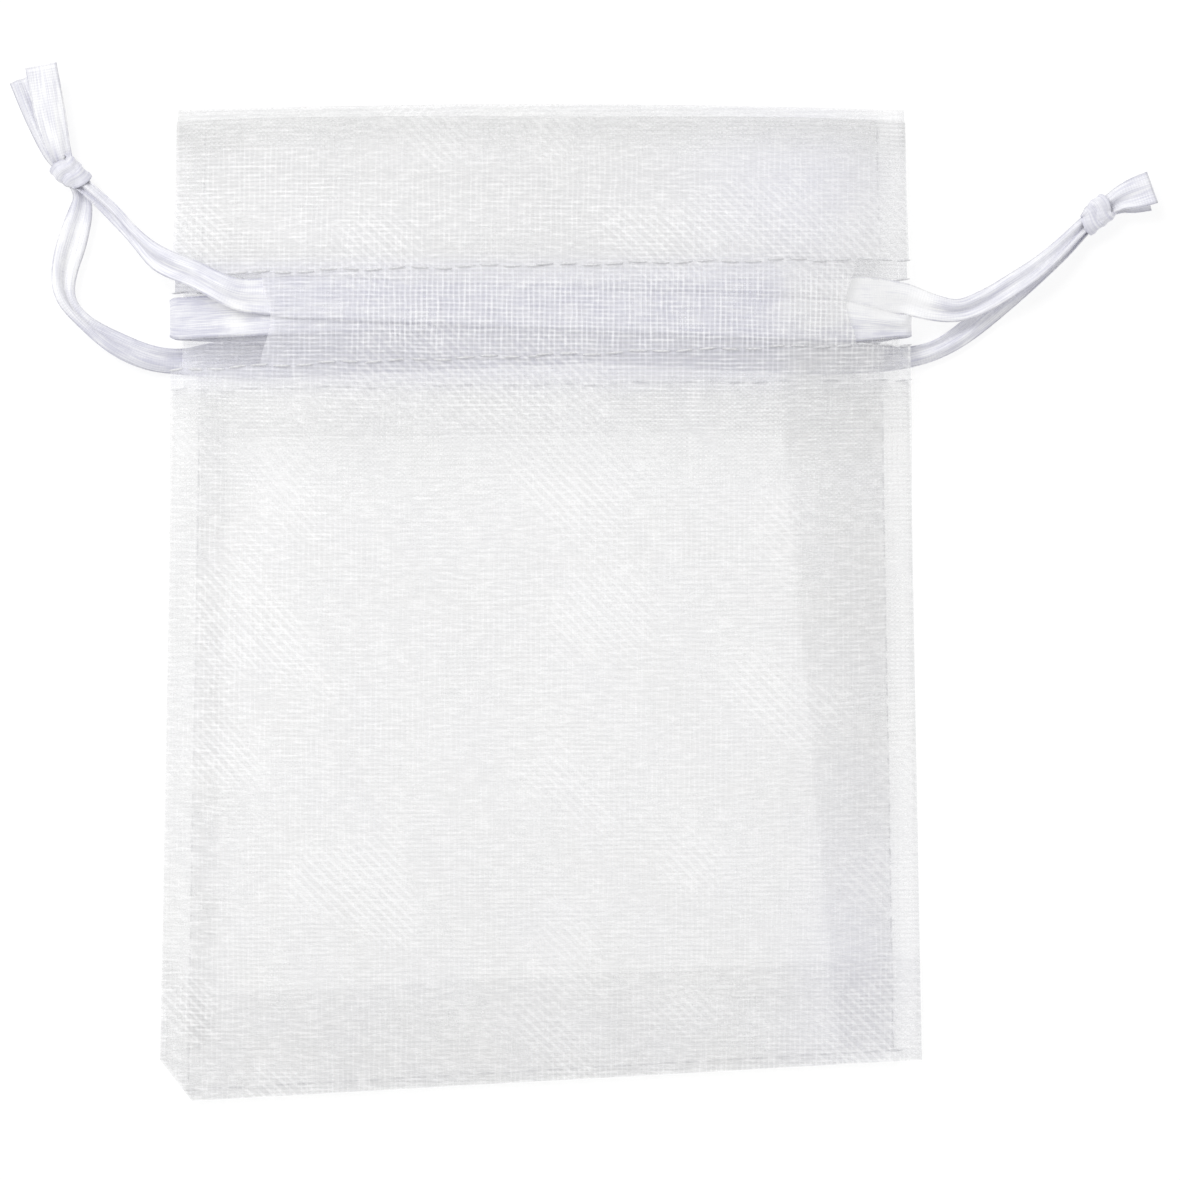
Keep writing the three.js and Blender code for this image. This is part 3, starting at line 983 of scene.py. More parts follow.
        def hem_depth(t: float) -> float:
            """Depth of the hem's ply, from the fold down to the row of stitching that catches it."""
            return mix(self.hem, self.stitched, smoothstep(t, 0.8, 1))

        down = self.between(mouth - radius, seam, hem_depth)
        dense = len(up) * [1.0] + (len(fold) + len(down)) * [self.inside_ply]
        self.lay(parts, shares, up + fold + down, dense)
        return parts

    def casing(self, half: Half) -> MeshParts:
        """The casing: the outer ply, which stops short at the casing's mouth, and the hem's ply under it.

        Args:
            half: Which half of it.

        Returns:
            Its mesh in the making.
        """
        parts = MeshParts()
        window = self.windows[0] if half is Half.LEFT else self.windows[1]
        shares = self.shares(half, 0.0, abs(window) / self.form.casing_half_width)
        outside = self.between(self.lower.at(shares), self.upper.at(shares), lambda t: self.outer)
        self.lay(parts, shares, outside, hollow=self.mouth_hollow)
        shares = self.shares(half, 0.0, self.notch_x / self.form.casing_half_width)

        def depth(t: float) -> float:
            """Depth of the hem's ply: caught at both rows of stitching, swollen by the ribbons between."""
            return mix(self.stitched, self.casing_hem, band(t, (0, 0.16), (0.84, 1)))

        inside = self.between(self.upper.at(shares), self.lower.at(shares), depth)
        self.lay(parts, shares, inside, self.casing_ply)
        return parts

    def body(self, half: Half) -> MeshParts:
        """The body: the outer ply, the hem's end under it, and the seam allowances turned inside.

        Args:
            half: Which half of it.

        Returns:
            Its mesh in the making.
        """
        parts = MeshParts()
        shares = self.shares(half)
        bottom, seam = self.form.bottom_edge(shares), self.lower.at(shares)
        self.lay(parts, shares, self.between(bottom, seam, lambda t: self.outer))
        hem_end = self.hem_edge.at(shares)
        hem_rows = self.between(seam, hem_end, lambda t: mix(self.stitched, self.hem, smoothstep(t, 0, 0.4)))
        self.lay(parts, shares, hem_rows, self.inside_ply)
        upturned = self.between(bottom + 0.3, bottom + self.bottom_allowance, lambda t: self.upturned)
        self.lay(parts, shares, upturned, self.upturned_ply)
        self.lay_side_allowance(parts, half, shares)
        return parts

    def lay_side_allowance(self, parts: MeshParts, half: Half, shares: Array) -> None:
        """Adds the allowance along a side seam, wider at the casing than at the bottom.

        Args:
            parts: Where it goes.
            half: Which side.
            shares: Places across that half.
        """
        allowance = self.left_allowance if half is Half.LEFT else self.right_allowance
        foot = float(self.form.bottom_edge(shares[0 if half is Half.LEFT else -1])) + 1.0
        top = float(self.lower.at(np.array(half.value)))
        rows = np.arange(foot, top, self.row_step)
        columns = np.linspace(0, 1, 14)
        points = []
        for y in rows:
            edge = float(self.form.half_width(np.array(y))) - self.form.seam_inset
            up = (y - foot) / (top - foot)
            ragged = 0.12 * math.sin(y * 1.7) + 0.07 * math.sin(y * 4.3)
            width = mix(allowance.at_bottom, allowance.at_casing, up) + ragged
            x = half.value * (edge - width * columns)
            share = x / float(self.form.half_width(np.array(y)))
            points.append(self.place(share, y, self.turned_in))
        points = np.stack(points)
        self.add_cloth(parts, points, points[..., :2], np.full(points.shape[:2], self.side_ply))

    def build(self) -> list[bpy.types.Object]:
        """Makes and dresses all six pieces.

        Returns:
            The pieces, each with its placement baked into its mesh.
        """
        material = self.finish.dress()
        makers = {Zone.HEADER: self.header, Zone.CASING: self.casing, Zone.BODY: self.body}
        pieces = []
        for half in Half:
            for zone, make in makers.items():
                piece = make(half).build(f"{self.name}_{zone.value}_{half.name.lower()}")
                piece.data.materials.append(material)
                seam = self.upper if zone is Zone.HEADER else self.lower
                Cinch(half).apply(piece, zone, seam, self.form.casing_half_width)
                self.declare(zone)
                pieces.append(piece)
        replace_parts(pieces[0], f"{self.name}_panel")
        return pieces

    def declare(self, zone: Zone) -> None:
        """Works out what size the zone's cloth was cut to, and does nothing with it.

        Args:
            zone: Which zone.
        """
        width = self.form.half_width_at_foot
        length = {
            Zone.HEADER: 2 * (self.mouth.left - self.upper.left),
            Zone.CASING: 2 * (self.upper.left - self.lower.left),
            Zone.BODY: self.lower.left + self.form.half_length + self.bottom_allowance,
        }[zone]
        if zone is Zone.BODY:
            width += (self.right_allowance.at_casing + self.right_allowance.at_bottom) / 2
        length * MM


# ---------------------------------------------------------------- stitching


@dataclass(frozen=True)
class StitchTool:
    """A geometry node tree that lays stitches along a line."""

    thread: bpy.types.Material
    seed: int = 7

    def tree(self) -> tuple[bpy.types.NodeTree, dict[str, str]]:
        """Builds the tree.

        Returns:
            The tree, and the identifier of each of its named inputs.
        """
        tree = bpy.data.node_groups.new("stitches", "GeometryNodeTree")
        face = tree.interface
        face.new_socket("Line", in_out="INPUT", socket_type="NodeSocketGeometry")
        names = ("Spacing", "Stitch Length", "Thread Radius")
        sizes = {name: face.new_socket(name, in_out="INPUT", socket_type="NodeSocketFloat") for name in names}
        face.new_socket("Stitches", in_out="OUTPUT", socket_type="NodeSocketGeometry")

        def node(kind: str, **settings: object) -> bpy.types.Node:
            """Adds a node.

            Args:
                kind: The node's type name.
                settings: Its own properties.

            Returns:
                The node.
            """
            made = tree.nodes.new(kind)
            for key, value in settings.items():
                setattr(made, key, value)
            return made

        link = tree.links.new
        start, end = node("NodeGroupInput"), node("NodeGroupOutput")
        line = node("GeometryNodeMeshToCurve")
        spots = node("GeometryNodeCurveToPoints", mode="LENGTH")
        facing = node("FunctionNodeAlignRotationToVector", axis="X")
        ball = node("GeometryNodeMeshIcoSphere")
        ball.inputs["Subdivisions"].default_value = 2
        ball.inputs["Radius"].default_value = 1.0
        size = node("ShaderNodeCombineXYZ")
        jitter = node("FunctionNodeRandomValue", data_type="FLOAT_VECTOR")
        jitter.inputs["Min"].default_value = (0.88, 0.85, 0.85)
        jitter.inputs["Max"].default_value = (1.05, 1.15, 1.15)
        jitter.inputs["Seed"].default_value = self.seed
        scale = node("ShaderNodeVectorMath", operation="MULTIPLY")
        copies = node("GeometryNodeInstanceOnPoints")
        real = node("GeometryNodeRealizeInstances")
        smooth = node("GeometryNodeSetShadeSmooth")
        paint = node("GeometryNodeSetMaterial")
        paint.inputs["Material"].default_value = self.thread
        link(start.outputs["Line"], line.inputs[0])
        link(line.outputs[0], spots.inputs["Curve"])
        link(start.outputs["Spacing"], spots.inputs["Length"])
        link(spots.outputs["Tangent"], facing.inputs["Vector"])
        link(start.outputs["Stitch Length"], size.inputs[0])
        link(start.outputs["Thread Radius"], size.inputs[1])
        link(start.outputs["Thread Radius"], size.inputs[2])
        link(size.outputs[0], scale.inputs[0])
        link(jitter.outputs["Value"], scale.inputs[1])
        link(spots.outputs["Points"], copies.inputs["Points"])
        link(ball.outputs["Mesh"], copies.inputs["Instance"])
        link(facing.outputs[0], copies.inputs["Rotation"])
        link(scale.outputs[0], copies.inputs["Scale"])
        link(copies.outputs[0], real.inputs[0])
        link(real.outputs[0], smooth.inputs[0])
        link(smooth.outputs[0], paint.inputs[0])
        link(paint.outputs[0], end.inputs[0])
        return tree, {name: item.identifier for name, item in sizes.items()}

    def sew(self, name: str, points: Array, spacing: float, length: float, radius: float) -> bpy.types.Object:
        """Lays a row of stitches.

        Args:
            name: The piece's name.
            points: The row's line, in millimetres.
            spacing: From the middle of one stitch to the next.
            length: Of one stitch.
            radius: Of the thread.

        Returns:
            The row as one plain mesh.
        """
        guide = bpy.data.meshes.new(name + "_line")
        edges = [(i, i + 1) for i in range(len(points) - 1)]
        guide.from_pydata((points * MM).tolist(), edges, [])
        holder = bpy.data.objects.new(name + "_line", guide)
        bpy.context.scene.collection.objects.link(holder)
        tree, inputs = self.tree()
        modifier = holder.modifiers.new("stitches", "NODES")
        modifier.node_group = tree
        modifier[inputs["Spacing"]] = spacing * MM
        modifier[inputs["Stitch Length"]] = length / 2 * MM
        modifier[inputs["Thread Radius"]] = radius * MM
        graph = bpy.context.evaluated_depsgraph_get()
        mesh = bpy.data.meshes.new_from_object(holder.evaluated_get(graph))
        mesh.name = name
        mesh.materials.clear()
        mesh.materials.append(self.thread)
        mesh.polygons.foreach_set("material_index", [0] * len(mesh.polygons))
        piece = bpy.data.objects.new(name, mesh)
        bpy.context.scene.collection.objects.link(piece)
        bpy.data.objects.remove(holder)
        return piece


@dataclass(frozen=True)
class Stitching:
    """All the rows of stitching: two round the casing on each panel, the side seams and the bottom seam."""

    form: PouchForm
    front: Panel
    back: Panel
    finish: SewingThread
    spacing: float = 2.15
    length: float = 1.75
    radius: float = 0.11
    seam_radius: float = 0.08
    bottom_end: float = 0.93  # share across the pouch where the bottom seam ends
    bottom_inset: float = 1.0
    front_depth: float = -0.02  # of a casing row, just proud of the front's outer ply
    back_depth: float = 0.15  # and inside both plies of the back

    def build(self) -> list[bpy.types.Object]:
        """Makes every row.

        Returns:
            The rows; the bottom one rides on the pouch's body.
        """
        tool = StitchTool(self.finish.dress())
        rows = []
        for panel in (self.front, self.back):
            for level, height in ((panel.upper, "upper"), (panel.lower, "lower")):
                for half in Half:
                    rows.append(self.casing_row(tool, panel, level, height, half))
        for half in Half:
            rows += self.side_rows(tool, half)
        rows.append(self.bottom_row(tool))
        return rows

    def casing_row(
        self, tool: StitchTool, panel: Panel, level: Level, height: str, half: Half
    ) -> bpy.types.Object:
        """One half of a row along the casing.

        Args:
            tool: What sews it.
            panel: The panel that it is on.
            level: Its line.
            height: Whether it is the upper or the lower row.
            half: The half of the pouch.

        Returns:
            The row.
        """
        shares = panel.shares(half, 0.012, 0.985)
        wander = 0.10 * np.sin(shares * 31) + 0.05 * np.sin(shares * 83)
        depth = self.front_depth if panel.is_front else panel.stitched + self.back_depth
        points = panel.place(shares, level.at(shares) + wander, depth)
        name = f"{panel.name}_{height}_casing_stitch"
        piece = tool.sew(f"{name}_{half.name.lower()}", points, self.spacing, self.length, self.radius)
        Cinch(half).apply(piece, Zone.CASING, level, self.form.casing_half_width)
        if half is Half.LEFT:
            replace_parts(piece, name)
        return piece

    def side_rows(self, tool: StitchTool, half: Half) -> list[bpy.types.Object]:
        """The seam of the header and the seam of the body on one side.

        Args:
            tool: What sews them.
            half: Which side.

        Returns:
            The two rows.
        """
        side = half.name.lower()
        made = []
        for node, zone, level in (
            (f"{side}_header_seam", Zone.HEADER, self.front.upper),
            (f"{side}_side_seam", Zone.BODY, self.front.lower),
        ):
            low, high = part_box(node)
            y = np.arange(low.y / MM, high.y / MM, 1.0)
            x = half.value * (self.form.half_width(y) - self.form.seam_inset)
            z = self.form.front_height(x, y) / 2
            line = np.stack([x, y, z], axis=-1)
            row = tool.sew(node + "_stitches", line, self.spacing, self.length, self.seam_radius)
            Cinch(half).apply(row, zone, level, self.form.casing_half_width)
            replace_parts(row, node)
            made.append(row)
        return made

    def bottom_row(self, tool: StitchTool) -> bpy.types.Object:
        """The seam along the bottom.

        Args:
            tool: What sews it.

        Returns:
            The row.
        """
        shares = np.linspace(self.form.blunt_corner, self.bottom_end, 60)
        y = self.form.bottom_edge(shares) + self.bottom_inset
        x = shares * self.form.half_width(y)
        z = self.form.front_height(x, y) / 2
        line = np.stack([x, y, z], axis=-1)
        row = tool.sew("bottom_seam_stitches", line, self.spacing, self.length, self.radius)
        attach(row, "pouch")
        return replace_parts(row, "bottom_seam")


# ---------------------------------------------------------------- ribbons


@dataclass(frozen=True)
class RibbonCloth:
    """How a flat ribbon is built along its line."""

    width: float = 4.0
    thickness: float = 0.14
    step: float = 0.45
    columns: int = 15
    crease: float = 0.42  # how strongly it folds lengthwise where it is squeezed narrower
    # A painted highlight at the left casing's mouth.
    bright_mouth: Spot = Spot(-28.5, 27.3, 1.4, 1.6)
    turning: tuple[float, float] = (0.25, 0.75)  # how steep it is where its folds begin to fade, and are gone

    def frames(self, line: Array) -> tuple[Array, Array]:
        """Directions across the ribbon and out of its face along its line.

        Args:
            line: Rows of x, y, z, width and roll in degrees.

        Returns:
            The two directions at each row. They never flip from one row to the next.
        """
        along = unit(np.gradient(line[:, :3], axis=0))
        across = np.zeros_like(along)
        last = np.array([0.0, 1.0, 0.0])
        for i, way in enumerate(along):
            level = np.array([-way[1], way[0], 0.0])
            steep = float(np.linalg.norm(level))
            if steep > 0.25:
                level = level / steep
                last = level if level @ last >= 0 else -level
            last = unit(last - (last @ way) * way)
            across[i] = last
        out = np.cross(along, across)
        roll = np.radians(line[:, 4:5])
        return across * np.cos(roll) + out * np.sin(roll), out * np.cos(roll) - across * np.sin(roll)

    def sweep(self, line: Array, seed: float) -> MeshParts:
        """Builds the ribbon.

        Args:
            line: Rows of x, y, z, width and roll in degrees.
            seed: Shifts its creases.

        Returns:
            A closed band, with its UV map across and along it in cloth units.
        """
        across, out = self.frames(line)
        along = run_length(line)
        a = np.linspace(-1, 1, self.columns)
        squeeze = np.clip(1 - line[:, 3] / self.width, 0, 1)
        phase = seed + 0.5 * np.sin(along / 4.0 + seed)
        steep = np.abs(unit(np.gradient(line[:, :3], axis=0))[:, 2])
        flat = 1 - smoothstep(steep, *self.turning)
        folds = (self.crease * squeeze * flat)[:, None] * np.cos(1.6 * math.pi * a[None, :] + phase[:, None])
        cup = 0.05 * (a**2)[None, :] * np.sin(along / 6.0 + seed)[:, None]
        ripple = 0.03 * np.sin(along / 1.3 + 2 * seed)[:, None] * np.cos(2.2 * a)[None, :]
        height = folds + cup + ripple
        middle = line[:, None, :3] + across[:, None, :] * (a[None, :, None] * line[:, 3][:, None, None] / 2)
        middle = middle + out[:, None, :] * height[..., None]
        rows_way = np.gradient(middle, axis=0)
        columns_way = np.gradient(middle, axis=1)
        normal = unit(np.cross(rows_way, columns_way))
        face = middle + normal * (self.thickness / 2)
        under = middle - normal * (self.thickness / 2)
        ring = np.concatenate([face, under[:, ::-1]], axis=1)
        both = np.concatenate([a, a[::-1]]) * (self.width / 2) + self.width / 2
        uv = np.stack(np.broadcast_arrays(both[None, :], along[:, None]), axis=-1) / UV_SPAN
        parts = MeshParts()
        parts.add_grid(ring, uv, {"shine": self.shine(*np.moveaxis(ring, -1, 0))}, around=True)
        self.close_end(parts, 0, False)
        self.close_end(parts, (len(line) - 1) * 2 * self.columns, True)
        return parts

    def shine(self, x: Array, y: Array, z: Array) -> Array:
        """Painted highlights where the satin catches the light: at the casing's mouths, on the left loop and
        on the upper tail, and painted shade at the turn by the left edge and on the back strand low beside
        it.

        Args:
            x: Places on it, across the pouch.
            y: Places on it, up the pouch.
            z: Their heights.

        Returns:
            How much painted highlight there is, from -1 for painted shade to 1.
        """
        right = band(x, (21, 25), (36, 39)) * smoothstep(y, 25.0, 27.5)
        left = self.bright_mouth.at(x, y)
        loop = band(y, (28, 30), (35, 38)) * smoothstep(-x, 42, 43.5)
        tail = smoothstep(y, 42, 44) * smoothstep(z, 1.3, 1.7)
        turn = band(-x, (30, 33), (35, 36)) * (1 - smoothstep(y, 28.8, 29.4))
        under = smoothstep(-x, 36, 38) * (1 - smoothstep(y, 25.5, 27))
        return np.clip(right + 0.9 * left + 0.5 * loop + 0.45 * tail - 0.3 * turn - 0.3 * under, -1, 1)

    def close_end(self, parts: MeshParts, start: int, is_last: bool) -> None:
        """Closes a cut end, between the two faces of the ribbon.

        Args:
            parts: The ribbon's mesh in the making.
            start: Number of the end's first point.
            is_last: Whether it is the end of the line.
        """
        last = start + 2 * self.columns - 1
        for j in range(self.columns - 1):
            corners = [start + j, start + j + 1, last - 1 - j, last - j]
            parts.faces.append(corners if is_last else corners[::-1])


@dataclass(frozen=True)
class Drawstring:
    """A satin ribbon: its free strands and tails outside the casing, and its runs and its turn inside."""

    side: str
    form: PouchForm
    cloth: RibbonCloth
    material: bpy.types.Material
    tie: Half  # where its ends are knotted
    depth: float  # of its middle inside a casing
    upper_tail: Sequence[Sequence[float]]
    front_strand: Sequence[Sequence[float]]
    front_run: Sequence[Sequence[float]]  # its two ends inside the front casing: x, y, width
    back_run: Sequence[Sequence[float]]
    back_strand: Sequence[Sequence[float]]
    lower_tail: Sequence[Sequence[float]]
    knot_middle: tuple[float, float, float]
    knot_heading: float
    exit_point: tuple[float, float, float]
    turn_x: float = 34.2
    turn_reach: float = 1.0
    stretches: ClassVar[tuple[str, ...]] = (
        "front_run",
        "back_run",
        "turn",
        "front_strand",
        "back_strand",
        "upper_tail",
        "lower_tail",
    )
    width_in_knot: float = 1.5
    knot_gap: float = 0.5  # between its two passes through the knot
    knot_turns: float = 1.75
    knot_stations: int = 61
    turn_squeeze: float = 0.16  # how much narrower it is in the middle of its turn
    run_stations: int = 21
    spread: float = 20.0  # how fast it widens inside, as widths gained over a whole run
    eased: int = 3  # how often its bends are smoothed

    def run(self, ends: Sequence[Sequence[float]], is_front: bool) -> list[list[float]]:
        """Stations inside a casing, where the ribbon spreads out to its full width.

        Args:
            ends: The x, y and width of its two ends.
            is_front: Whether it is the front casing.

        Returns:
            Rows of x, y, z, width and roll, from the first end to the other.
        """
        (x0, y0, w0), (x1, y1, w1) = ends
        made = []
        for t in np.linspace(0, 1, self.run_stations):
            x, y = mix(x0, x1, t), mix(y0, y1, t)
            z = self.inside_front(x, y) if is_front else self.depth
            width = min(self.cloth.width, w0 + t * self.spread, w1 + (1 - t) * self.spread)
            made.append([x, y, z, width, 0.0])
        return made

    def inside_front(self, x: float, y: float) -> float:
        """Height of the ribbon's middle inside the front casing."""
        return float(self.form.front_height(np.array(x), np.array(y))) - self.depth

    def turn(self) -> list[list[float]]:
        """Stations round the far side edge.

        Returns:
            Rows of x, y, z, width and roll, from the front casing to the back one.
        """
        _, y, width = self.front_run[1]
        side = -self.tie.value
        top = self.inside_front(side * self.turn_x, y)
        middle, half = (top + self.depth) / 2, (top - self.depth) / 2
        made = []
        for angle in np.linspace(math.pi / 2, -math.pi / 2, 9)[1:-1]:
            reach = side * (self.turn_x + self.turn_reach * math.cos(angle))
            narrowed = width * (1 - self.turn_squeeze * math.cos(angle) ** 4)
            made.append([reach, y, middle + half * math.sin(angle), narrowed, 0.0])
        return made

    def line(self) -> Array:
        """The whole ribbon's line.

        Returns:
            Rows of x, y, z, width and roll, from the upper tail's cut end to the lower tail's.
        """
        x, y, z = self.knot_middle
        knot_in = [x, y, z, self.width_in_knot, 0.0]
        knot_out = [x, y, z - self.knot_gap, self.width_in_knot, 0.0]
        stations = [
            *self.upper_tail[::-1],
            knot_in,
            *self.front_strand[::-1],
            *self.run(self.front_run, True),
            *self.turn(),
            *self.run(self.back_run, False)[::-1],
            *self.back_strand,
            knot_out,
            *self.lower_tail,
        ]
        line = through(np.array(stations, float), self.cloth.step)
        for _ in range(self.eased):
            line[1:-1] = (line[:-2] + 2 * line[1:-1] + line[2:]) / 4
        return line

    def knot_line(self) -> Array:
        """The line of the knot's outer loops, which wrap round the two strands.

        Returns:
            Rows of x, y, z and width.
        """
        heading = math.radians(self.knot_heading)
        ahead = np.array([math.cos(heading), math.sin(heading), 0.0])
        aside = np.array([-ahead[1], ahead[0], 0.0])
        up = np.array([0.0, 0.0, 1.0])
        rows = []
        for t in np.linspace(0, 1, self.knot_stations):
            angle = TURN * self.knot_turns * t + 0.6
            radius = 0.86 + 0.16 * math.sin(3 * angle) + 0.1 * t
            offset = 2.0 * (t - 0.5) + 0.30 * math.sin(2 * angle)
            middle = np.array(self.knot_middle) + ahead * offset
            point = middle + aside * radius * math.cos(angle) * 1.05 + up * radius * math.sin(angle) * 0.95
            rows.append([*point, 1.9 + 0.3 * math.sin(5 * t)])
        return np.array(rows)

    def knot(self) -> bpy.types.Object:
        """The knot, as the ribbon's own loops drawn tight.

        Returns:
            The knot, riding with its ribbon.
        """
        line = self.knot_line()
        parts = KnotCloth().wrap(line, np.array(self.knot_middle), math.radians(self.knot_heading))
        piece = parts.build(f"{self.side}_ribbon_tied_knot")
        piece.data.materials.append(self.material)
        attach(piece, f"{self.side}_drawstring")
        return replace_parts(piece, f"{self.side}_ribbon_knot")

    def build(self) -> list[bpy.types.Object]:
        """Makes the ribbon and its knot.

        Returns:
            The pieces, riding on the ribbon's body.
        """
        line = self.line()
        ribbon = self.cloth.sweep(line, float(self.tie.value)).build(f"{self.side}_satin_ribbon")
        ribbon.data.materials.append(self.material)
        knot = self.knot()
        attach(ribbon, f"{self.side}_drawstring")
        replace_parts(ribbon, *[f"{self.side}_ribbon_{name}" for name in self.stretches])
        length = float(run_length(line)[-1]) * MM
        tuple(part * MM for part in self.exit_point)
        self.cloth.width * MM
        log.info("%s ribbon is %.0f mm long", self.side, length / MM)
        return [ribbon, knot]


@dataclass(frozen=True)
class KnotCloth:
    """A tight band of ribbon round a core, for a knot."""

    columns: int = 11
    thickness: float = 0.16
    # Painted shade over the whole knot.
    shine: float = -0.2

    def wrap(self, line: Array, middle: Array, heading: float) -> MeshParts:
        """Builds the band.

        Args:
            line: Rows of x, y, z and width.
            middle: The knot's middle.
            heading: The direction of the strands through it, in radians.

        Returns:
            A closed band whose width lies along the strands.
        """
        ahead = np.array([math.cos(heading), math.sin(heading), 0.0])
        along = unit(np.gradient(line[:, :3], axis=0))
        out = line[:, :3] - middle
        out = unit(out - (out @ ahead)[:, None] * ahead)
        across = unit(np.cross(along, out))
        a = np.linspace(-1, 1, self.columns)
        length = run_length(line)
        crown = 0.22 * (1 - a**2)[None, :] + 0.07 * np.cos(5 * a[None, :] + length[:, None] * 0.9)
        middles = line[:, None, :3] + across[:, None] * (a[None, :, None] * line[:, 3][:, None, None] / 2)
        face = middles + out[:, None] * (crown + self.thickness / 2)[..., None]
        under = middles + out[:, None] * (crown - self.thickness / 2)[..., None]
        ring = np.concatenate([face, under[:, ::-1]], axis=1)
        both = (np.concatenate([a, a[::-1]]) + 1) * (RibbonCloth.width / 2)
        uv = np.stack(np.broadcast_arrays(both[None, :], length[:, None]), axis=-1) / UV_SPAN
        parts = MeshParts()
        parts.add_grid(ring, uv, {"shine": np.full(ring.shape[:2], self.shine)}, around=True)
        ends = RibbonCloth(columns=self.columns)
        ends.close_end(parts, 0, False)
        ends.close_end(parts, (len(line) - 1) * 2 * self.columns, True)
        return parts


# ---------------------------------------------------------------- the whole pouch


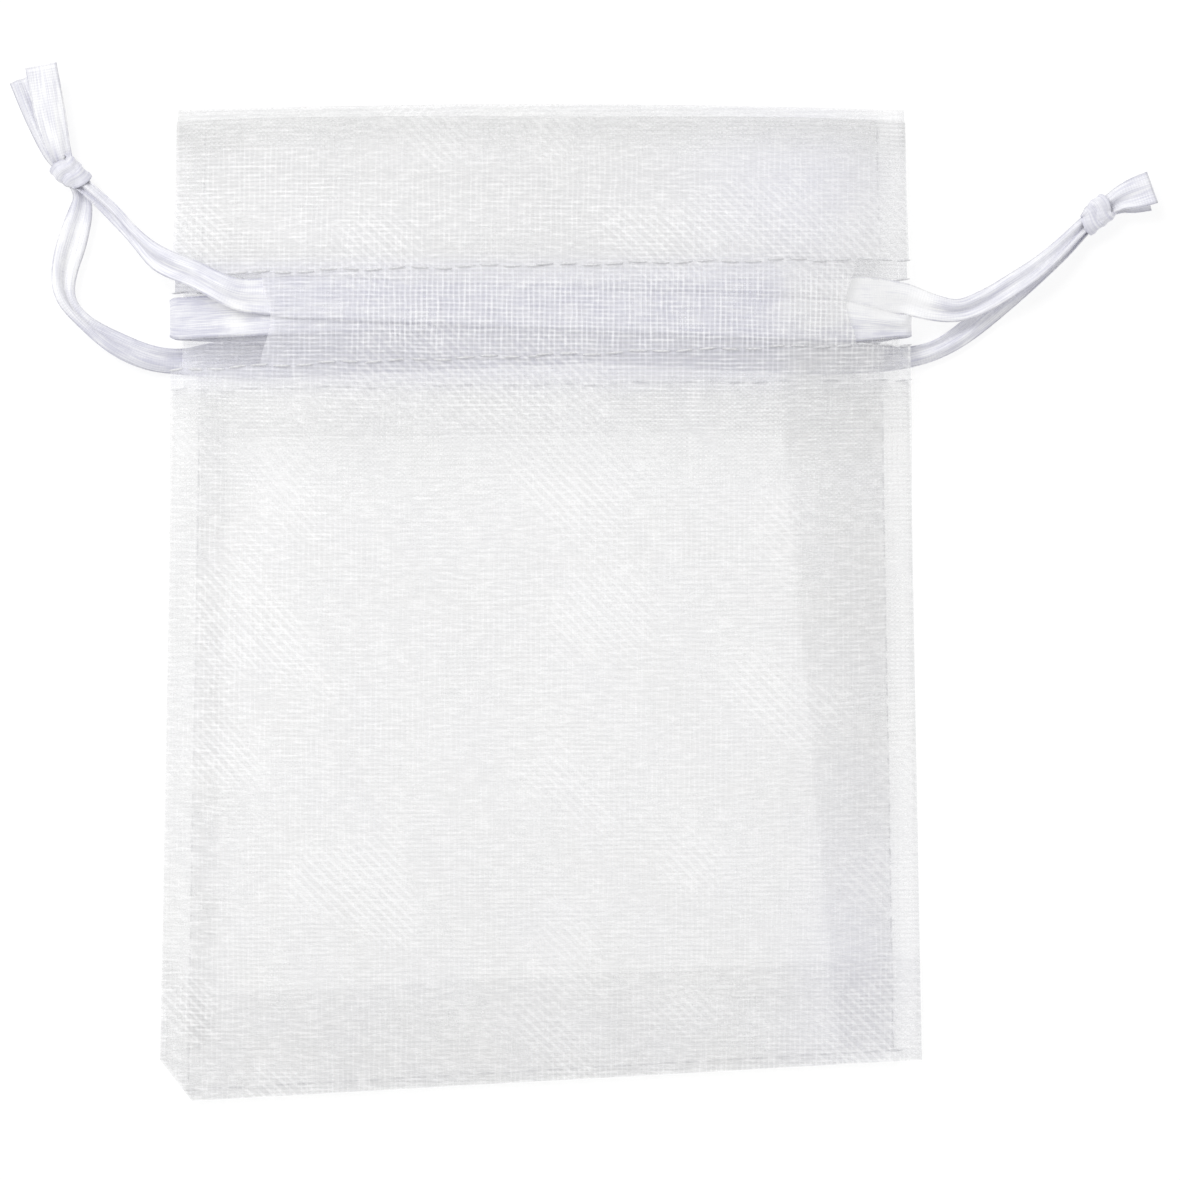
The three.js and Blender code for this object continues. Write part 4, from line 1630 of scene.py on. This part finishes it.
@dataclass
class Pouch:
    """The pouch with its cloth, stitching and ribbons."""

    form: PouchForm = field(default_factory=PouchForm.from_frame)
    mouth_bow: float = 0.6
    front_short: float = 1.2  # how much lower the front's mouth lies than the back's

    def front_panel(self) -> Panel:
        """The panel on top.

        Returns:
            The panel, ready to be made.
        """
        mouth = self.form.half_length - self.mouth_bow - self.front_short
        return Panel(
            "front",
            self.form,
            Organza("front_organza", turn=0.010),
            True,
            mouth=Level(mouth, mouth),
            upper=Level(30.8, 32.4),
            lower=Level(21.9, 24.4),
            hem_edge=Level(18.4, 19.0),
            windows=(-26.3, 29.8),
            left_allowance=Allowance(2.4, 2.0),
            right_allowance=Allowance(10.4, 5.4),
        )

    def back_panel(self) -> Panel:
        """The panel that the pouch lies on.

        Returns:
            The panel, ready to be made.
        """
        mouth = self.form.half_length - self.mouth_bow
        return Panel(
            "back",
            self.form,
            Organza("back_organza", weft_pitch=0.42, warp_pitch=0.515, turn=-0.014, shift=0.0017),
            False,
            mouth=Level(mouth, mouth, self.mouth_bow),
            upper=Level(29.4, 30.8),
            lower=Level(20.2, 21.2),
            hem_edge=Level(15.6, 16.2),
            windows=(-30.0, 30.0),
            left_allowance=Allowance(2.6, 2.2),
            right_allowance=Allowance(9.6, 5.0),
        )

    def on_front(self, x: float, y: float, lift: float) -> tuple[float, float, float]:
        """A point over the front panel."""
        return x, y, float(self.form.front_height(np.array(x), np.array(y))) + lift

    def left_ribbon(self, cloth: RibbonCloth, material: bpy.types.Material) -> Drawstring:
        """The ribbon that is knotted on the left and turns at the right edge.

        Args:
            cloth: How a ribbon is built.
            material: Its finish.

        Returns:
            The ribbon, ready to be made.
        """
        depth = 0.575
        return Drawstring(
            "left",
            self.form,
            cloth,
            material,
            Half.LEFT,
            depth,
            upper_tail=[
                [-45.8, 42.9, 1.9, 2.2, 0],
                [-46.7, 46.6, 2.0, 3.0, 8],
                [-47.5, 51.0, 2.2, 3.1, 14],
            ],
            front_strand=[
                [*self.on_front(-28.3, 28.9, 0.2), 3.0, 0],
                [*self.on_front(-30.3, 29.7, 0.9), 2.6, 0],
                [*self.on_front(-32.6, 30.9, 1.0), 2.5, 0],
                [-36.0, 32.4, 4.9, 2.4, 20],
                [-38.4, 34.6, 3.6, 1.5, 35],
                [-40.8, 37.2, 2.6, 1.4, 25],
                [-43.1, 39.3, 2.1, 1.3, 10],
            ],
            front_run=[[-26.1, 28.8, 3.4], [34.0, 26.2, 2.2]],
            back_run=[[-34.4, 22.9, 2.4], [34.0, 26.2, 2.2]],
            back_strand=[
                [-37.4, 23.3, 1.1, 2.4, 15],
                [-40.6, 24.7, 1.6, 2.4, 35],
                [-43.6, 26.8, 1.9, 1.6, 50],
                [-45.2, 28.9, 1.9, 2.1, 45],
                [-45.4, 31.3, 1.5, 2.5, 25],
                [-44.6, 34.5, 1.1, 2.8, 5],
                [-43.8, 37.4, 1.0, 2.2, 0],
                [-43.8, 38.9, 1.1, 1.4, 0],
            ],
            lower_tail=[
                [-46.6, 42.7, 0.9, 1.6, 0],
                [-48.2, 46.2, 0.9, 2.0, 0],
                [-49.6, 49.8, 0.8, 2.2, 0],
            ],
            knot_middle=(-44.9, 40.9, 1.6),
            knot_heading=135,
            exit_point=(-34.0, 31.5, 4.5),
        )

    def right_ribbon(self, cloth: RibbonCloth, material: bpy.types.Material) -> Drawstring:
        """The ribbon that is knotted on the right and turns at the left edge.

        Args:
            cloth: How a ribbon is built.
            material: Its finish.

        Returns:
            The ribbon, ready to be made.
        """
        depth = 1.025
        return Drawstring(
            "right",
            self.form,
            cloth,
            material,
            Half.RIGHT,
            depth,
            upper_tail=[
                [54.9, 38.3, 2.1, 2.2, 0],
                [56.3, 38.8, 2.3, 3.0, 10],
                [58.1, 39.4, 2.4, 3.3, 14],
            ],
            front_strand=[
                [37.0, 28.0, 2.8, 2.6, 0],
                [39.6, 27.7, 2.5, 2.1, -20],
                [42.4, 28.7, 2.4, 2.1, 0],
                [46.7, 31.4, 2.6, 2.1, 20],
                [49.6, 33.9, 2.2, 1.7, 20],
                [51.1, 35.4, 2.0, 1.3, 0],
            ],
            front_run=[[34.2, 28.8, 3.1], [-34.0, 26.9, 4.0]],
            back_run=[[34.2, 23.2, 2.1], [-34.0, 26.9, 4.0]],
            back_strand=[
                [37.6, 24.0, 1.0, 1.8, 0],
                [40.4, 25.7, 0.9, 2.1, 0],
                [43.6, 28.3, 0.9, 2.2, 0],
                [46.9, 31.1, 0.9, 2.0, 0],
                [49.6, 33.5, 1.0, 1.7, 0],
                [51.2, 35.0, 1.1, 1.3, 0],
            ],
            lower_tail=[
                [54.9, 38.1, 1.1, 2.2, 0],
                [56.2, 38.5, 1.0, 3.0, 0],
                [57.8, 38.9, 0.8, 3.3, 0],
            ],
            knot_middle=(53.0, 37.0, 1.6),
            knot_heading=38,
            exit_point=(36.0, 29.0, 3.0),
        )

    def build(self) -> list[bpy.types.Object]:
        """Makes everything that belongs to the pouch.

        Returns:
            All its pieces.
        """
        cloth, satin = RibbonCloth(), Satin("satin_ribbon").dress()
        pieces = self.left_ribbon(cloth, satin).build()
        pieces += self.right_ribbon(cloth, satin).build()
        front, back = self.front_panel(), self.back_panel()
        pieces += front.build()
        pieces += back.build()
        pieces += Stitching(self.form, front, back, SewingThread("sewing_thread")).build()
        return pieces


# ---------------------------------------------------------------- studio


@dataclass(frozen=True)
class Studio:
    """Plain pale floor, soft light all round, and a camera that looks straight down."""

    view_width: float = 112.4
    beside: tuple[float, float] = (0.678, -0.737)  # of the view's middle from the middle of the pouch's box
    focus_height: float = 1.0
    lens: float = 150.0
    sensor: float = 36.0
    sky: float = 0.74
    key_power: float = 3.0
    key_size: tuple[float, float] = (0.50, 0.35)
    key_place: tuple[float, float, float] = (-0.35, 0.40, 0.65)
    floor_half: float = 1.5

    def build(self) -> None:
        """Makes the floor, the camera and the light."""
        self.add_floor()
        self.add_camera()
        self.add_sky()
        self.add_key()
        scene = bpy.context.scene
        scene.view_settings.view_transform = "Standard"
        scene.cycles.transparent_max_bounces = 32

    def add_floor(self) -> None:
        """A broad flat floor under the pouch."""
        half = self.floor_half
        mesh = bpy.data.meshes.new("floor")
        corners = [(-half, -half, 0), (half, -half, 0), (half, half, 0), (-half, half, 0)]
        mesh.from_pydata(corners, [], [(0, 1, 2, 3)])
        floor = bpy.data.objects.new("floor", mesh)
        bpy.context.scene.collection.objects.link(floor)
        mesh.materials.append(PaleFloor().dress())

    def add_camera(self) -> None:
        """A long lens, high over the pouch."""
        data = bpy.data.cameras.new("camera")
        data.lens, data.sensor_width = self.lens, self.sensor
        data.clip_start, data.clip_end = 0.01, 10
        camera = bpy.data.objects.new("camera", data)
        bpy.context.scene.collection.objects.link(camera)
        distance = self.view_width * self.lens / self.sensor + self.focus_height
        middle = (CAD_BOX[0] + CAD_BOX[1]) / 2
        camera.location = Vector((middle.x, middle.y, 0)) + Vector((*self.beside, distance)) * MM
        bpy.context.scene.camera = camera

    def add_sky(self) -> None:
        """Even white light from all sides."""
        world = bpy.data.worlds.new("sky")
        world.use_nodes = True
        background = world.node_tree.nodes["Background"]
        background.inputs["Color"].default_value = (1, 1, 1, 1)
        background.inputs["Strength"].default_value = self.sky
        bpy.context.scene.world = world

    def add_key(self) -> None:
        """A softbox above the upper left, for the gloss on the ribbons."""
        data = bpy.data.lights.new("key", "AREA")
        data.shape = "RECTANGLE"
        data.size, data.size_y = self.key_size
        data.energy = self.key_power
        key = bpy.data.objects.new("key", data)
        bpy.context.scene.collection.objects.link(key)
        key.location = self.key_place
        key.rotation_euler = (-key.location).to_track_quat("-Z", "Y").to_euler()


def report(pieces: Iterable[bpy.types.Object]) -> None:
    """Logs each piece with its number of faces."""
    for piece in pieces:
        log.info("%s: %d faces", piece.name, len(piece.data.polygons))


def main() -> None:
    """Builds the studio and then the pouch, and reports its pieces."""
    logging.basicConfig(level=logging.INFO, format="%(message)s")
    Studio().build()
    report(Pouch().build())


if __name__ == "__main__":
    main()
